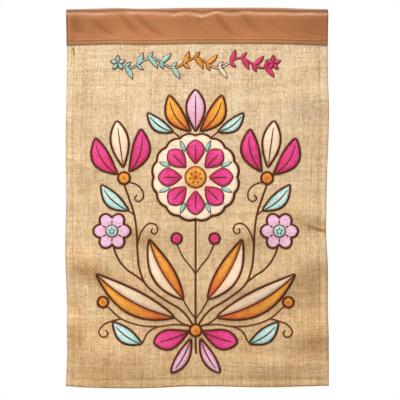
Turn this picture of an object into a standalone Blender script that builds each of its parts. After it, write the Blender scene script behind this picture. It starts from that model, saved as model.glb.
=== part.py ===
"""A garden flag: a hemmed burlap panel that hangs from a satin pole sleeve, with flowers of cut cloth on its face.

Metres, +Z up. The face looks along -Y, and the width runs along X.
The origin is on the line of the pole that the sleeve slides over, at the middle of the width.
"""

import math

import bmesh
import bpy
import numpy as np

# The flag as sewn
FLAG_WIDTH = 0.3165
FLAG_HEIGHT = 0.4605
POLE_LINE_DROP = 0.0100  # the pole's line lies this far below the sleeve's top edge
GAP = 0.0003  # between pieces that lie on each other

# The burlap
BURLAP_THICK = 0.0012
HEM_WIDTH = 0.0100
HEM_STEP = 0.0010  # over this width the turned hem's extra layer runs out
HEM_EXTRA = 0.0010  # what the turned layer adds at the back
CELL = 0.0140  # the size of the grid that the sheet's folds are held on
BURLAP_TOP_DROP = 0.0360  # the panel's top edge, hidden between the sleeve's two legs
FOLDS_START_DROP = 0.0450
FOLDS_FULL_DROP = 0.0800

# The sleeve
SLEEVE_HEIGHT = 0.0430
SLEEVE_WALL = 0.0010
SLEEVE_FORK_DROP = 0.0350  # below this the sleeve is two legs, one each side of the burlap
SLEEVE_STATIONS = 41
SLEEVE_LEG = BURLAP_THICK / 2 + GAP  # the inner face of a leg, from the flag's middle plane

# The flowers, cut from cloth
PATCH_THICK = 0.0010
PATCH_STATIONS = 9  # points along each side of a petal or leaf
PATCH_SEAM = 0.0005  # half the parting between two pieces that are sewn side by side
ROUND_POINTS = 14  # points round a plain round piece
SCALLOP_POINTS = 4  # points along each petal or scallop of an outline
SCALLOP_FULLNESS = 0.8  # under 1 makes scallops blunter
CUTTER_REACH = 0.0300  # how far an outline's cutter stands out on each side of the flag
SHARP_TURN = math.radians(40)  # faces that meet at more than this keep a crisp edge
MOTIF_X = -0.0020  # the flowers' own middle line

# The outline is uneven. Columns: drop, left edge in, right edge in
SIDE_EDGES = (
    (0.0028, 0.0003, -0.0002),
    (0.0426, 0.0003, 0.0002),
    (0.0460, 0.0012, 0.0002),
    (0.0900, 0.0005, -0.0001),
    (0.1200, -0.0001, -0.0011),
    (0.1550, -0.0008, -0.0007),
    (0.1980, -0.0004, 0.0010),
    (0.2420, -0.0003, 0.0021),
    (0.2640, -0.0009, 0.0026),
    (0.2850, -0.0013, 0.0020),
    (0.3290, -0.0003, 0.0002),
    (0.3720, 0.0010, 0.0001),
    (0.4160, 0.0010, -0.0009),
    (0.4580, -0.0005, -0.0010),
)

# Columns: x, top edge down, bottom edge up
LONG_EDGES = (
    (-0.158, 0.0022, 0.0025),
    (-0.132, 0.0015, 0.0008),
    (-0.096, 0.0006, 0.0001),
    (-0.071, 0.0012, 0.0000),
    (-0.047, 0.0010, 0.0007),
    (-0.011, 0.0002, 0.0022),
    (0.025, 0.0001, 0.0022),
    (0.073, 0.0000, 0.0012),
    (0.098, 0.0002, 0.0013),
    (0.122, 0.0010, 0.0021),
    (0.158, 0.0020, 0.0031),
)

# Soft folds of the hanging cloth, each a long hill or, below zero, a trough.
# Columns: x, drop, slope of its line in degrees (downwards to the right), half length, half width, height
FOLDS = (
    (-0.118, 0.163, 4, 0.050, 0.022, 0.0028),
    (-0.065, 0.130, 12, 0.060, 0.020, 0.0014),
    (0.125, 0.124, -14, 0.045, 0.020, 0.0024),
    (0.105, 0.190, 10, 0.055, 0.022, 0.0014),
    (0.000, 0.266, 0, 0.110, 0.019, 0.0036),
    (0.140, 0.262, 16, 0.026, 0.009, 0.0016),
    (-0.085, 0.318, 16, 0.075, 0.017, 0.0036),
    (0.085, 0.327, -12, 0.075, 0.018, 0.0038),
    (-0.098, 0.394, 11, 0.065, 0.020, 0.0034),
    (0.120, 0.388, 8, 0.050, 0.018, 0.0030),
    (0.045, 0.428, -4, 0.055, 0.015, 0.0022),
    (-0.143, 0.270, 90, 0.150, 0.008, -0.0012),
    (0.143, 0.230, 90, 0.160, 0.008, -0.0012),
    (-0.010, 0.345, 0, 0.050, 0.020, -0.0016),
)

# The sleeve's section. Columns: drop, half depth of the outer face
SLEEVE_OUTER = (
    (0.0000, 0.0000),
    (0.0006, 0.0032),
    (0.0020, 0.0056),
    (0.0042, 0.0068),
    (0.0078, 0.0072),
    (0.0120, 0.0069),
    (0.0175, 0.0056),
    (0.0245, 0.0037),
    (0.0305, 0.0025),
    (0.0350, 0.0021),
    (0.0430, SLEEVE_LEG + SLEEVE_WALL),
)

# The pole's tunnel inside it. Columns: drop, half depth of the inner face
SLEEVE_TUNNEL = (
    (0.0010, 0.0000),
    (0.0016, 0.0028),
    (0.0030, 0.0048),
    (0.0050, 0.0058),
    (0.0080, 0.0062),
    (0.0120, 0.0059),
    (0.0170, 0.0047),
    (0.0235, 0.0028),
    (0.0290, 0.0014),
    (0.0320, 0.0000),
)

# Creases that slant across the sleeve's front. Columns: x at the top, x at the bottom, height
SLEEVE_CREASES = (
    (-0.146, -0.112, 0.0012),
    (-0.121, -0.098, 0.0016),
    (-0.102, -0.066, 0.0018),
    (-0.072, -0.036, 0.0020),
    (-0.014, -0.010, 0.0016),
    (0.020, 0.050, 0.0018),
    (0.054, 0.072, 0.0014),
    (0.094, 0.112, 0.0010),
)
CREASE_HALF_WIDTH = 0.0080
CREASE_TOP_DROP = 0.0050
CREASE_END_DROP = 0.0340

# Colour, roughness of each cloth
CLOTHS = {
    "burlap": ((0.62, 0.46, 0.29), 0.95),
    "brown_satin": ((0.46, 0.21, 0.09), 0.45),
    "cream": ((0.83, 0.67, 0.51), 0.55),
    "magenta": ((0.74, 0.05, 0.21), 0.70),
    "pink": ((0.72, 0.38, 0.52), 0.65),
    "orange": ((0.80, 0.36, 0.07), 0.60),
    "aqua": ((0.40, 0.66, 0.62), 0.60),
}

# The round flower: its middle, and the petals that stand round it
ROSE_DROP = 0.205
MEDALLION_RADIUS = 0.0500
MEDALLION_SCALLOPS = 16
SCALLOP_HEIGHT = 0.0028
ROSE_PETALS = 8
ROSE_PETAL_INNER = 0.0165
ROSE_PETAL_OUTER = 0.0450
ROSE_PETAL_HALF_WIDTH = 0.0105
ROSE_PETAL_SKEW = 1.35
ROSE_PETAL_FULLNESS = 0.7
ROSE_HEART_RADIUS = 0.0125

# Petals and leaves sewn on as mirrored pairs, with those of the middle line in the table after it.
# Columns: name, cloth, foot x, foot drop, tip x, tip drop, bow outwards, half width, skew, fullness, sides
# Skew over 1 puts the widest place nearer the tip; sides says which side of the vein the piece covers.
PAIRED = (
    ("crown_petal", "orange", 0.0060, 0.149, 0.0320, 0.106, 0.0065, 0.0100, 1.1, 0.8, "both"),
    ("crown_leaf", "aqua", 0.0270, 0.150, 0.0580, 0.127, 0.0045, 0.0070, 1.0, 0.9, "both"),
    ("tulip_inner", "magenta", 0.0800, 0.198, 0.0660, 0.147, -0.0070, 0.0105, 1.1, 0.8, "both"),
    ("tulip_middle", "cream", 0.0875, 0.193, 0.0950, 0.137, 0.0000, 0.0105, 1.2, 0.8, "both"),
    ("tulip_outer", "magenta", 0.0945, 0.201, 0.1210, 0.158, 0.0070, 0.0105, 1.1, 0.8, "both"),
    ("tulip_leaf", "aqua", 0.0810, 0.245, 0.1140, 0.214, 0.0045, 0.0085, 1.0, 0.9, "both"),
    ("upper_leaf_low", "cream", 0.0150, 0.352, 0.0560, 0.280, 0.0060, 0.0130, 0.9, 0.9, "outer"),
    ("upper_leaf_top", "orange", 0.0150, 0.352, 0.0560, 0.280, 0.0060, 0.0125, 0.9, 0.9, "inner"),
    ("side_leaf_low", "orange", 0.0260, 0.374, 0.1200, 0.322, 0.0080, 0.0145, 0.9, 0.9, "outer"),
    ("side_leaf_top", "cream", 0.0260, 0.374, 0.1200, 0.322, 0.0080, 0.0135, 0.9, 0.9, "inner"),
    ("bow_loop", "magenta", 0.0080, 0.391, 0.0500, 0.405, 0.0020, 0.0115, 1.5, 0.7, "both"),
    ("bow_tail", "pink", 0.0060, 0.400, 0.0290, 0.441, 0.0030, 0.0070, 1.2, 0.7, "both"),
    ("low_leaf", "aqua", 0.0650, 0.406, 0.1000, 0.380, 0.0040, 0.0085, 1.0, 0.9, "both"),
)

# Columns: name, cloth, foot drop, tip drop, half width, skew, fullness
MIDDLE = (("crown_bud", "pink", 0.1490, 0.0990, 0.0110, 1.2, 0.8),)

# Round blossoms and berries, in mirrored pairs. Columns: name, cloth, x, drop, radius, petals, petal height
ROUNDS = (
    ("tulip_cup", "orange", 0.0865, 0.2060, 0.0070, 0, 0.0),
    ("daisy", "pink", 0.1010, 0.2700, 0.0150, 6, 0.0075),
    ("inner_berry", "magenta", 0.0230, 0.2790, 0.0062, 0, 0.0),
    ("outer_berry", "orange", 0.1120, 0.3560, 0.0062, 0, 0.0),
)
DAISY_HEART_RADIUS = 0.0070
BOW_KNOT_DROP = 0.3900
BOW_KNOT_RADIUS = 0.0070


def column(table, index):
    """One column of a table, as an array."""
    return np.array([row[index] for row in table])


def looked_up(table, at, index):
    """A table's column, read between its rows."""
    return float(np.interp(at, column(table, 0), column(table, index)))


def smooth_step(value):
    """0 below 0, 1 above 1, and a smooth rise between."""
    share = min(1.0, max(0.0, value))
    return share * share * (3 - 2 * share)


def world_z(drop):
    """Height of a place that lies this far below the sleeve's highest point."""
    return POLE_LINE_DROP - drop


def relief(x, drop):
    """How far the hanging cloth stands out towards the front at a place."""
    total = 0.0
    for fold_x, fold_drop, slope, half_length, half_width, height in FOLDS:
        turn = math.radians(slope)
        right, down = x - fold_x, drop - fold_drop
        along = right * math.cos(turn) + down * math.sin(turn)
        across = down * math.cos(turn) - right * math.sin(turn)
        total += height * math.exp(-((along / half_length) ** 2) - (across / half_width) ** 2)
    held = smooth_step((drop - FOLDS_START_DROP) / (FOLDS_FULL_DROP - FOLDS_START_DROP))
    return total * held


def grid_place(across, drop):
    """(x, drop) on the uneven outline, of a place on the flag's even one."""
    left = looked_up(SIDE_EDGES, drop, 1)
    right = looked_up(SIDE_EDGES, drop, 2)
    share = across / FLAG_WIDTH
    x = -FLAG_WIDTH / 2 + left + share * (FLAG_WIDTH - left - right)
    top = looked_up(LONG_EDGES, x, 1)
    bottom = FLAG_HEIGHT - looked_up(LONG_EDGES, x, 2)
    return x, top + drop / FLAG_HEIGHT * (bottom - top)


def grid_lines(start, hem_start, hem_end, end):
    """Places of the grid's lines: close where a hem's layer runs out, even between."""
    first, last = hem_start + HEM_STEP, hem_end - HEM_STEP
    cells = round((last - first) / CELL)
    even = [first + (last - first) * k / cells for k in range(cells + 1)]
    return [start, hem_start, *even, hem_end, end]


COLUMNS = grid_lines(0.0, HEM_WIDTH, FLAG_WIDTH - HEM_WIDTH, FLAG_WIDTH)
ROWS = grid_lines(BURLAP_TOP_DROP, SLEEVE_HEIGHT + HEM_STEP, FLAG_HEIGHT - HEM_WIDTH, FLAG_HEIGHT)


def clean_mesh(name, bm):
    """A closed bmesh as a mesh whose faces point out."""
    bmesh.ops.recalc_face_normals(bm, faces=bm.faces)
    mesh = bpy.data.meshes.new(name)
    bm.to_mesh(mesh)
    bm.free()
    mesh.shade_smooth()
    mesh.set_sharp_from_angle(angle=SHARP_TURN)
    return mesh


def add_object(name, mesh, cloth, parent):
    """A named object of one cloth, hung from its parent."""
    made = bpy.data.objects.new(name, mesh)
    bpy.context.scene.collection.objects.link(made)
    mesh.materials.append(cloth_material(cloth))
    made.parent = parent
    return made


def cloth_material(cloth):
    """The plain material of one cloth, made once."""
    if cloth in bpy.data.materials:
        return bpy.data.materials[cloth]
    colour, roughness = CLOTHS[cloth]
    made = bpy.data.materials.new(cloth)
    made.use_nodes = True
    shader = made.node_tree.nodes["Principled BSDF"]
    shader.inputs["Base Color"].default_value = (*colour, 1.0)
    shader.inputs["Roughness"].default_value = roughness
    shader.inputs["Metallic"].default_value = 0.0
    return made


def slab_mesh(name, columns, rows, front, back):
    """A closed sheet on the flag's grid. front and back give how far each face stands towards the front."""
    bm = bmesh.new()
    faces = []
    for offset in (front, back):
        layer = []
        for drop in rows:
            line = []
            for across in columns:
                x, real_drop = grid_place(across, drop)
                y = -relief(x, real_drop) - offset(across, drop)
                line.append(bm.verts.new((x, y, world_z(real_drop))))
            layer.append(line)
        faces.append(layer)
    for layer in faces:
        for i in range(len(rows) - 1):
            for j in range(len(columns) - 1):
                corner, right = layer[i][j], layer[i][j + 1]
                below, opposite = layer[i + 1][j], layer[i + 1][j + 1]
                bm.faces.new((corner, right, opposite))
                bm.faces.new((corner, opposite, below))
    rims = [rim_of(layer) for layer in faces]
    for k in range(len(rims[0])):
        near, far = rims
        bm.faces.new((near[k - 1], near[k], far[k], far[k - 1]))
    return clean_mesh(name, bm)


def rim_of(layer):
    """The points round the edge of one face of a sheet, in order."""
    top, bottom = layer[0], layer[-1]
    right_side = [line[-1] for line in layer[1:-1]]
    left_side = [line[0] for line in layer[1:-1]]
    return [*top, *right_side, *reversed(bottom), *reversed(left_side)]


def hem_layer(across, drop):
    """Thickness that the turned hem adds at the back of a grid place."""
    in_sides = min(across, FLAG_WIDTH - across) <= HEM_WIDTH
    in_bottom = drop >= FLAG_HEIGHT - HEM_WIDTH
    below_sleeve = drop > SLEEVE_HEIGHT + HEM_STEP
    return HEM_EXTRA if (in_sides or in_bottom) and below_sleeve else 0.0


def burlap_panel(parent):
    """The hemmed burlap, one sheet whose hems are turned to the back."""
    mesh = slab_mesh(
        "burlap_panel",
        COLUMNS,
        ROWS,
        lambda across, drop: BURLAP_THICK / 2,
        lambda across, drop: -BURLAP_THICK / 2 - hem_layer(across, drop),
    )
    return add_object("burlap_panel", mesh, "burlap", parent)


def crease(x, drop):
    """How far a slanting crease pushes the sleeve's front wall out at a place."""
    share = (drop - CREASE_TOP_DROP) / (CREASE_END_DROP - CREASE_TOP_DROP)
    if not 0 < share < 1:
        return 0.0
    swell = math.sin(math.pi * share)
    total = 0.0
    for top_x, bottom_x, height in SLEEVE_CREASES:
        middle = top_x + share * (bottom_x - top_x)
        total += height * math.exp(-(((x - middle) / CREASE_HALF_WIDTH) ** 2))
    return total * swell


def sleeve_ring(bm, x, half_section, closing):
    """One closed ring of a swept section: down the back face, round the closing points and up the front."""
    top = looked_up(LONG_EDGES, x, 1)
    back = [(drop, depth) for drop, depth in half_section]
    front = [(drop, -depth - crease(x, drop)) for drop, depth in half_section if depth > 0]
    points = [*back, *closing, *reversed(front)]
    return [bm.verts.new((x, y, world_z(top + drop))) for drop, y in points]


def pole_sleeve(parent):
    """The satin sleeve: folded over into a tunnel for the pole, its two legs sewn each side of the burlap."""
    bm = bmesh.new()
    half = FLAG_WIDTH / 2 - looked_up(SIDE_EDGES, SLEEVE_HEIGHT / 2, 1)
    stations = np.linspace(-half, half, SLEEVE_STATIONS)
    leg_foot = SLEEVE_OUTER[-1][0]
    fork = [
        (leg_foot, SLEEVE_LEG),
        (SLEEVE_FORK_DROP, SLEEVE_LEG),
        (SLEEVE_FORK_DROP, -SLEEVE_LEG),
        (leg_foot, -SLEEVE_LEG),
    ]
    outer = [sleeve_ring(bm, x, SLEEVE_OUTER, fork) for x in stations]
    tunnel = [sleeve_ring(bm, x, SLEEVE_TUNNEL, []) for x in stations]
    for rings in (outer, tunnel):
        for near, far in zip(rings, rings[1:]):
            for k in range(len(near)):
                bm.faces.new((near[k - 1], near[k], far[k], far[k - 1]))
    for end in (0, -1):
        loops = [*ring_edges(bm, outer[end]), *ring_edges(bm, tunnel[end])]
        bmesh.ops.triangle_fill(bm, edges=loops, use_beauty=False, use_dissolve=False)
    mesh = clean_mesh("pole_sleeve", bm)
    return add_object("pole_sleeve", mesh, "brown_satin", parent)


def ring_edges(bm, ring):
    """The edges of one closed ring of points."""
    return [bm.edges.get((ring[k - 1], ring[k])) for k in range(len(ring))]


def outline_cutter(name, outline):
    """A tall prism of an outline, given as (x, drop) points, that cuts one piece out of a layer of cloth."""
    bm = bmesh.new()
    near, far = (
        [bm.verts.new((x, y, world_z(drop))) for x, drop in outline]
        for y in (-CUTTER_REACH, CUTTER_REACH)
    )
    bm.faces.new(near)
    bm.faces.new(far)
    for k in range(len(outline)):
        bm.faces.new((near[k - 1], near[k], far[k], far[k - 1]))
    cutter = bpy.data.objects.new(name, clean_mesh(name, bm))
    bpy.context.scene.collection.objects.link(cutter)
    cutter.hide_render = True
    cutter.display_type = "WIRE"
    return cutter


def spanned(lines, low, high, nominal):
    """The grid lines that a piece needs under it, one more on each side."""
    start = max(0, int(np.searchsorted(lines, low + nominal)) - 2)
    end = min(len(lines), int(np.searchsorted(lines, high + nominal)) + 2)
    return lines[start:end]


def cloth_patch(name, cloth, outline, parent, level=0):
    """A piece of cut cloth sewn to the flag's face, or at level 1 on top of another piece."""
    xs, drops = zip(*outline)
    back = BURLAP_THICK / 2 + GAP + level * (PATCH_THICK + GAP)
    mesh = slab_mesh(
        name,
        spanned(COLUMNS, min(xs), max(xs), FLAG_WIDTH / 2),
        spanned(ROWS, min(drops), max(drops), 0.0),
        lambda across, drop: back + PATCH_THICK,
        lambda across, drop: back,
    )
    patch = add_object(name, mesh, cloth, parent)
    cut = patch.modifiers.new("cut_to_outline", "BOOLEAN")
    cut.operation = "INTERSECT"
    cut.object = outline_cutter(name + "_outline", outline)
    return patch


def round_outline(x, drop, radius, petals=0, height=0.0):
    """A round outline, or one with this many petals or scallops that rise this high beyond it."""
    points = SCALLOP_POINTS * petals if petals else ROUND_POINTS
    outline = []
    for k in range(points):
        turn = 2 * math.pi * k / points
        reach = radius + height * abs(math.sin(petals * turn / 2)) ** SCALLOP_FULLNESS
        outline.append((x + reach * math.sin(turn), drop - reach * math.cos(turn)))
    return outline


def blade_outline(foot, tip, bow, half_width, skew, fullness, sides="both"):
    """A petal or leaf on a bowed vein from foot to tip. A side that it doesn't cover stops at the vein."""
    run_x, run_drop = tip[0] - foot[0], tip[1] - foot[1]
    length = math.hypot(run_x, run_drop)
    out_x, out_drop = -run_drop / length, run_x / length
    edges = {"outer": [], "inner": []}
    for k in range(PATCH_STATIONS + 1):
        t = (1 - math.cos(math.pi * k / PATCH_STATIONS)) / 2
        lift = 4 * bow * t * (1 - t)
        vein_x = foot[0] + run_x * t + out_x * lift
        vein_drop = foot[1] + run_drop * t + out_drop * lift
        swell = half_width * math.sin(math.pi * t**skew) ** fullness if 0 < k < PATCH_STATIONS else 0.0
        for side, sign in (("outer", 1), ("inner", -1)):
            width = swell if sides in ("both", side) else -PATCH_SEAM
            edges[side].append((vein_x + sign * width * out_x, vein_drop + sign * width * out_drop))
    if sides == "both":
        return [*edges["outer"], *reversed(edges["inner"][1:-1])]
    covered, vein = edges[sides], edges["inner" if sides == "outer" else "outer"]
    return [*covered[1:-1], *reversed(vein[1:-1])]


def mirrored(outline, side):
    """An outline on the motif's right side, side 1, or its mirror image on the left, side -1."""
    return [(MOTIF_X + side * x, drop) for x, drop in outline]


def round_flower(parent):
    """The cream medallion with the magenta petals and the orange heart sewn on it."""
    scalloped = round_outline(MOTIF_X, ROSE_DROP, MEDALLION_RADIUS, MEDALLION_SCALLOPS, SCALLOP_HEIGHT)
    medallion = cloth_patch("medallion", "cream", scalloped, parent)
    for k in range(ROSE_PETALS):
        turn = 2 * math.pi * k / ROSE_PETALS
        right, up = math.sin(turn), math.cos(turn)
        foot, tip = (
            (MOTIF_X + radius * right, ROSE_DROP - radius * up)
            for radius in (ROSE_PETAL_INNER, ROSE_PETAL_OUTER)
        )
        outline = blade_outline(
            foot, tip, 0.0, ROSE_PETAL_HALF_WIDTH, ROSE_PETAL_SKEW, ROSE_PETAL_FULLNESS
        )
        cloth_patch(f"rose_petal_{k + 1}", "magenta", outline, medallion, level=1)
    heart = round_outline(MOTIF_X, ROSE_DROP, ROSE_HEART_RADIUS)
    cloth_patch("rose_heart", "orange", heart, medallion, level=1)


def middle_pieces(parent):
    """The petal and the knot that stand on the flowers' own middle line."""
    for name, cloth, foot_drop, tip_drop, half_width, skew, fullness in MIDDLE:
        outline = blade_outline((MOTIF_X, foot_drop), (MOTIF_X, tip_drop), 0.0, half_width, skew, fullness)
        cloth_patch(name, cloth, outline, parent)
    knot = round_outline(MOTIF_X, BOW_KNOT_DROP, BOW_KNOT_RADIUS)
    cloth_patch("bow_knot", "orange", knot, parent)


def paired_pieces(parent):
    """The petals, leaves, blossoms and berries that stand left and right of the middle line."""
    for side, word in ((-1, "left"), (1, "right")):
        for name, cloth, foot_x, foot_drop, tip_x, tip_drop, bow, half_width, skew, fullness, sides in PAIRED:
            outline = blade_outline(
                (foot_x, foot_drop), (tip_x, tip_drop), bow, half_width, skew, fullness, sides
            )
            cloth_patch(f"{name}_{word}", cloth, mirrored(outline, side), parent)
        for name, cloth, x, drop, radius, petals, height in ROUNDS:
            outline = mirrored(round_outline(x, drop, radius, petals, height), side)
            blossom = cloth_patch(f"{name}_{word}", cloth, outline, parent)
            if petals:
                heart = mirrored(round_outline(x, drop, DAISY_HEART_RADIUS), side)
                cloth_patch(f"{name}_heart_{word}", "aqua", heart, blossom, level=1)


def main():
    for old in list(bpy.data.objects):
        bpy.data.objects.remove(old)
    pole_line = bpy.data.objects.new("pole_line", None)
    bpy.context.scene.collection.objects.link(pole_line)
    pole_sleeve(pole_line)
    panel = burlap_panel(pole_line)
    round_flower(panel)
    middle_pieces(panel)
    paired_pieces(panel)


main()
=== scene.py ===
"""A garden flag: burlap under a satin pole sleeve, with a bouquet of cut cloth sewn on its face.

Metres, +Z up. The face looks along -Y. A place on the cloth is given by x, to the right, and by its drop
below the sleeve's highest point.
"""

import math

import bmesh
import bpy
import numpy as np
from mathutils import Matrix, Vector


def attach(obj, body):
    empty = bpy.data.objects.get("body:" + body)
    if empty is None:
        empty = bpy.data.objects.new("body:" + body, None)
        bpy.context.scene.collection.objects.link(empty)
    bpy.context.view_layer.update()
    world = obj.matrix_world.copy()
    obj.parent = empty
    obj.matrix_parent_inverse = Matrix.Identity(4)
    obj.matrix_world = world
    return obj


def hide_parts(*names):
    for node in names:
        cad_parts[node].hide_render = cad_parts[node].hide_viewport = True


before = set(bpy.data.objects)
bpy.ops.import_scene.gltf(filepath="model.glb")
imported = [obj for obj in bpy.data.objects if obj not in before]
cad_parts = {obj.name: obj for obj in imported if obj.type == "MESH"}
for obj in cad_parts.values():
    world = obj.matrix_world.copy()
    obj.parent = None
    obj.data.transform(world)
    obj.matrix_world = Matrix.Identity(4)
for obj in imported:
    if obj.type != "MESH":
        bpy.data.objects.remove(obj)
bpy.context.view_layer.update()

# The studio. The camera looks at the flag's face square on, from far enough to keep its edges straight.
# A pale floor lies well under the flag, the surround is white, and soft light comes from above and in front,
# with a weaker one behind.
VIEW_MIDDLE_X = 0.0034
VIEW_MIDDLE_Z = -0.2226
VIEW_WIDTH = 0.4840
CAMERA_DISTANCE = 1.6
SENSOR_WIDTH = 36.0
FLOOR_Z = -1.050
FLOOR_RADIUS = 1.7
FLOOR_EDGE_POINTS = 96
FLOOR_COLOUR = (0.80, 0.80, 0.80, 1.0)
SURROUND_SEEN = 1.0
SURROUND_LIGHT = 0.16
LIGHTS_AIM = Vector((0.0, 0.0, -0.20))
# Columns: name, place, width, height, power
STUDIO_LIGHTS = (
    ("top_light", (0.15, -1.20, 1.75), 1.2, 0.4, 67.0),
    ("left_light", (-0.95, -0.80, 0.10), 0.5, 0.5, 9.8),
    ("back_light", (0.60, 1.50, -0.10), 1.0, 1.0, 26.0),
)


def stand(name, data):
    """A new object in the scene."""
    made = bpy.data.objects.new(name, data)
    bpy.context.scene.collection.objects.link(made)
    return made


def plain_shader(name, **values):
    """A new material and its Principled shader, whose constant values are set on the shader itself."""
    material = bpy.data.materials.new(name)
    material.use_nodes = True
    shader = material.node_tree.nodes["Principled BSDF"]
    for key, value in values.items():
        shader.inputs[key.replace("_", " ")].default_value = value
    return material, shader


camera = stand("camera", bpy.data.cameras.new("camera"))
camera.location = (VIEW_MIDDLE_X, -CAMERA_DISTANCE, VIEW_MIDDLE_Z)
camera.rotation_euler = (math.pi / 2, 0.0, 0.0)
camera.data.sensor_width = SENSOR_WIDTH
camera.data.lens = SENSOR_WIDTH * CAMERA_DISTANCE / VIEW_WIDTH
bpy.context.scene.camera = camera
bpy.context.scene.view_settings.view_transform = "Standard"

for light_name, place, width, height, power in STUDIO_LIGHTS:
    lamp = bpy.data.lights.new(light_name, "AREA")
    lamp.shape = "RECTANGLE"
    lamp.size, lamp.size_y, lamp.energy = width, height, power
    light = stand(light_name, lamp)
    light.location = place
    light.rotation_euler = (LIGHTS_AIM - Vector(place)).to_track_quat("-Z", "Y").to_euler()
    light.visible_camera = False

surround = bpy.data.worlds.new("white_surround")
surround.use_nodes = True
bpy.context.scene.world = surround
sky = surround.node_tree
strength = sky.nodes.new("ShaderNodeMapRange")
strength.inputs["To Min"].default_value = SURROUND_LIGHT
strength.inputs["To Max"].default_value = SURROUND_SEEN
sky.links.new(sky.nodes.new("ShaderNodeLightPath").outputs["Is Camera Ray"], strength.inputs["Value"])
sky.links.new(strength.outputs["Result"], sky.nodes["Background"].inputs["Strength"])
sky.nodes["Background"].inputs["Color"].default_value = (1.0, 1.0, 1.0, 1.0)

floor_mesh = bpy.data.meshes.new("floor")
floor_turns = np.linspace(0, 2 * math.pi, FLOOR_EDGE_POINTS, endpoint=False)
floor_rim = [(FLOOR_RADIUS * math.cos(a), FLOOR_RADIUS * math.sin(a), FLOOR_Z) for a in floor_turns]
floor_mesh.from_pydata(floor_rim, [], [list(range(FLOOR_EDGE_POINTS))])
floor_mesh.materials.append(plain_shader("pale_floor", Base_Color=FLOOR_COLOUR, Roughness=0.9)[0])
floor = stand("floor", floor_mesh)

# The panel: one piece of jute-look burlap in plain weave, its threads uneven, with slubs both ways.
# Its side and bottom hems are turned to the back and stitched. It hangs in soft folds from the sleeve's seam.
FLAG_WIDTH = 0.3165
FLAG_HEIGHT = 0.4605
POLE_LINE_DROP = 0.0100
GAP = 0.0003
MERGE_WITHIN = 1e-6
BURLAP_THICK = 0.0012
BURLAP_FACE = BURLAP_THICK / 2
BURLAP_TOP_DROP = 0.0360
HEM_TOP_DROP = 0.0440
HEM_WIDTH = 0.0120
HEM_STEP = 0.0010
HEM_EXTRA = 0.0010
EDGE_ROUNDING = 0.0011
EDGE_BLUNTNESS = 0.3
SHARP_CREASE_ACROSS = (0.286, 0.308)
SHARP_CREASE_DROPS = (0.255, 0.280)
FOLDS_START_DROP = 0.0450
FOLDS_FULL_DROP = 0.0800
THREAD_PITCH = 0.00127
THREAD_WANDER = 0.0011
TONE_AND_HEIGHT = {"Colour": "Color", "Height": "Float"}
PALE_STRIP_IN = 0.0046
FINE_CELL = 0.0024
LEFT_STITCH_IN = 0.0085
RIGHT_STITCH_IN = 0.0105
BOTTOM_STITCH_UP = 0.0108
PUCKER_LENGTH = 0.0066
PUCKER_WIDTH = 0.0040
PUCKER_HEIGHT = 0.00016
GROOVE_WIDTH = 0.0013
GROOVE_DEPTH = 0.00040
ROLL_HEIGHT = 0.00055

# The outline is uneven. Columns: drop, left edge in, right edge in
SIDE_EDGES = (
    (0.0028, 0.0003, -0.0002), (0.0426, 0.0003, 0.0002), (0.0460, 0.0008, 0.0002),
    (0.0900, 0.0005, -0.0001), (0.1200, -0.0001, -0.0011), (0.1550, -0.0008, -0.0007),
    (0.1980, -0.0004, 0.0010), (0.2420, -0.0003, 0.0021), (0.2640, -0.0009, 0.0026),
    (0.2850, -0.0013, 0.0020), (0.3290, -0.0003, 0.0002), (0.3720, 0.0010, 0.0001),
    (0.4160, 0.0010, -0.0009), (0.4580, -0.0005, -0.0010),
)
# Columns: x, top edge down, bottom edge up
LONG_EDGES = (
    (-0.158, 0.0022, 0.0025), (-0.132, 0.0015, 0.0008), (-0.096, 0.0006, 0.0001), (-0.071, 0.0012, 0.0000),
    (-0.047, 0.0010, 0.0007), (-0.011, 0.0002, 0.0022), (0.025, 0.0001, 0.0022), (0.073, 0.0000, 0.0012),
    (0.098, 0.0002, 0.0013), (0.122, 0.0010, 0.0021), (0.158, 0.0020, 0.0031),
)
# Soft folds of the hanging cloth, each a long hill or, below zero, a trough.
# Columns: x, drop, slope of its line in degrees (downwards to the right), half length, half width, height
FOLDS = (
    # beside and above the round flower
    (-0.145, 0.115, 90, 0.062, 0.010, 0.0014),
    (0.118, 0.125, 90, 0.095, 0.022, 0.0020),
    (0.136, 0.112, -8, 0.030, 0.017, 0.0028),
    (-0.135, 0.190, 12, 0.024, 0.013, 0.0026),
    (-0.060, 0.150, 4, 0.060, 0.026, 0.0018),
    (0.060, 0.160, -6, 0.050, 0.024, 0.0016),
    # level with the daisies
    (-0.072, 0.268, 4, 0.034, 0.017, 0.0036),
    (0.062, 0.272, -4, 0.034, 0.018, 0.0044),
    (0.142, 0.250, 10, 0.030, 0.013, 0.0036),
    (-0.134, 0.308, 4, 0.028, 0.017, 0.0046),
    (-0.062, 0.340, 38, 0.042, 0.021, 0.0048),
    (0.060, 0.338, -10, 0.050, 0.018, 0.0056),
    (0.142, 0.308, -6, 0.030, 0.018, 0.0046),
    (0.130, 0.296, 90, 0.060, 0.035, 0.0050),
    # level with the bow
    (-0.152, 0.386, 10, 0.018, 0.014, 0.0044),
    (-0.092, 0.420, 8, 0.050, 0.026, 0.0062),
    (0.138, 0.394, -4, 0.034, 0.018, 0.0060),
    (0.086, 0.432, 2, 0.060, 0.013, 0.0042),
    # small creases, finer than the solids show
    (0.145, 0.2690, 17, 0.012, 0.0018, -0.0011),
    (0.145, 0.2650, 17, 0.012, 0.0022, 0.0010),
    (-0.128, 0.205, 24, 0.020, 0.006, 0.0004),
    (-0.060, 0.350, 20, 0.026, 0.006, 0.0004),
    (0.060, 0.360, -18, 0.028, 0.006, 0.0004),
    (0.116, 0.300, 12, 0.022, 0.005, 0.0004),
    (-0.120, 0.350, -9, 0.022, 0.005, 0.0004),
    (-0.020, 0.436, 4, 0.030, 0.007, 0.0005),
)
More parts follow.
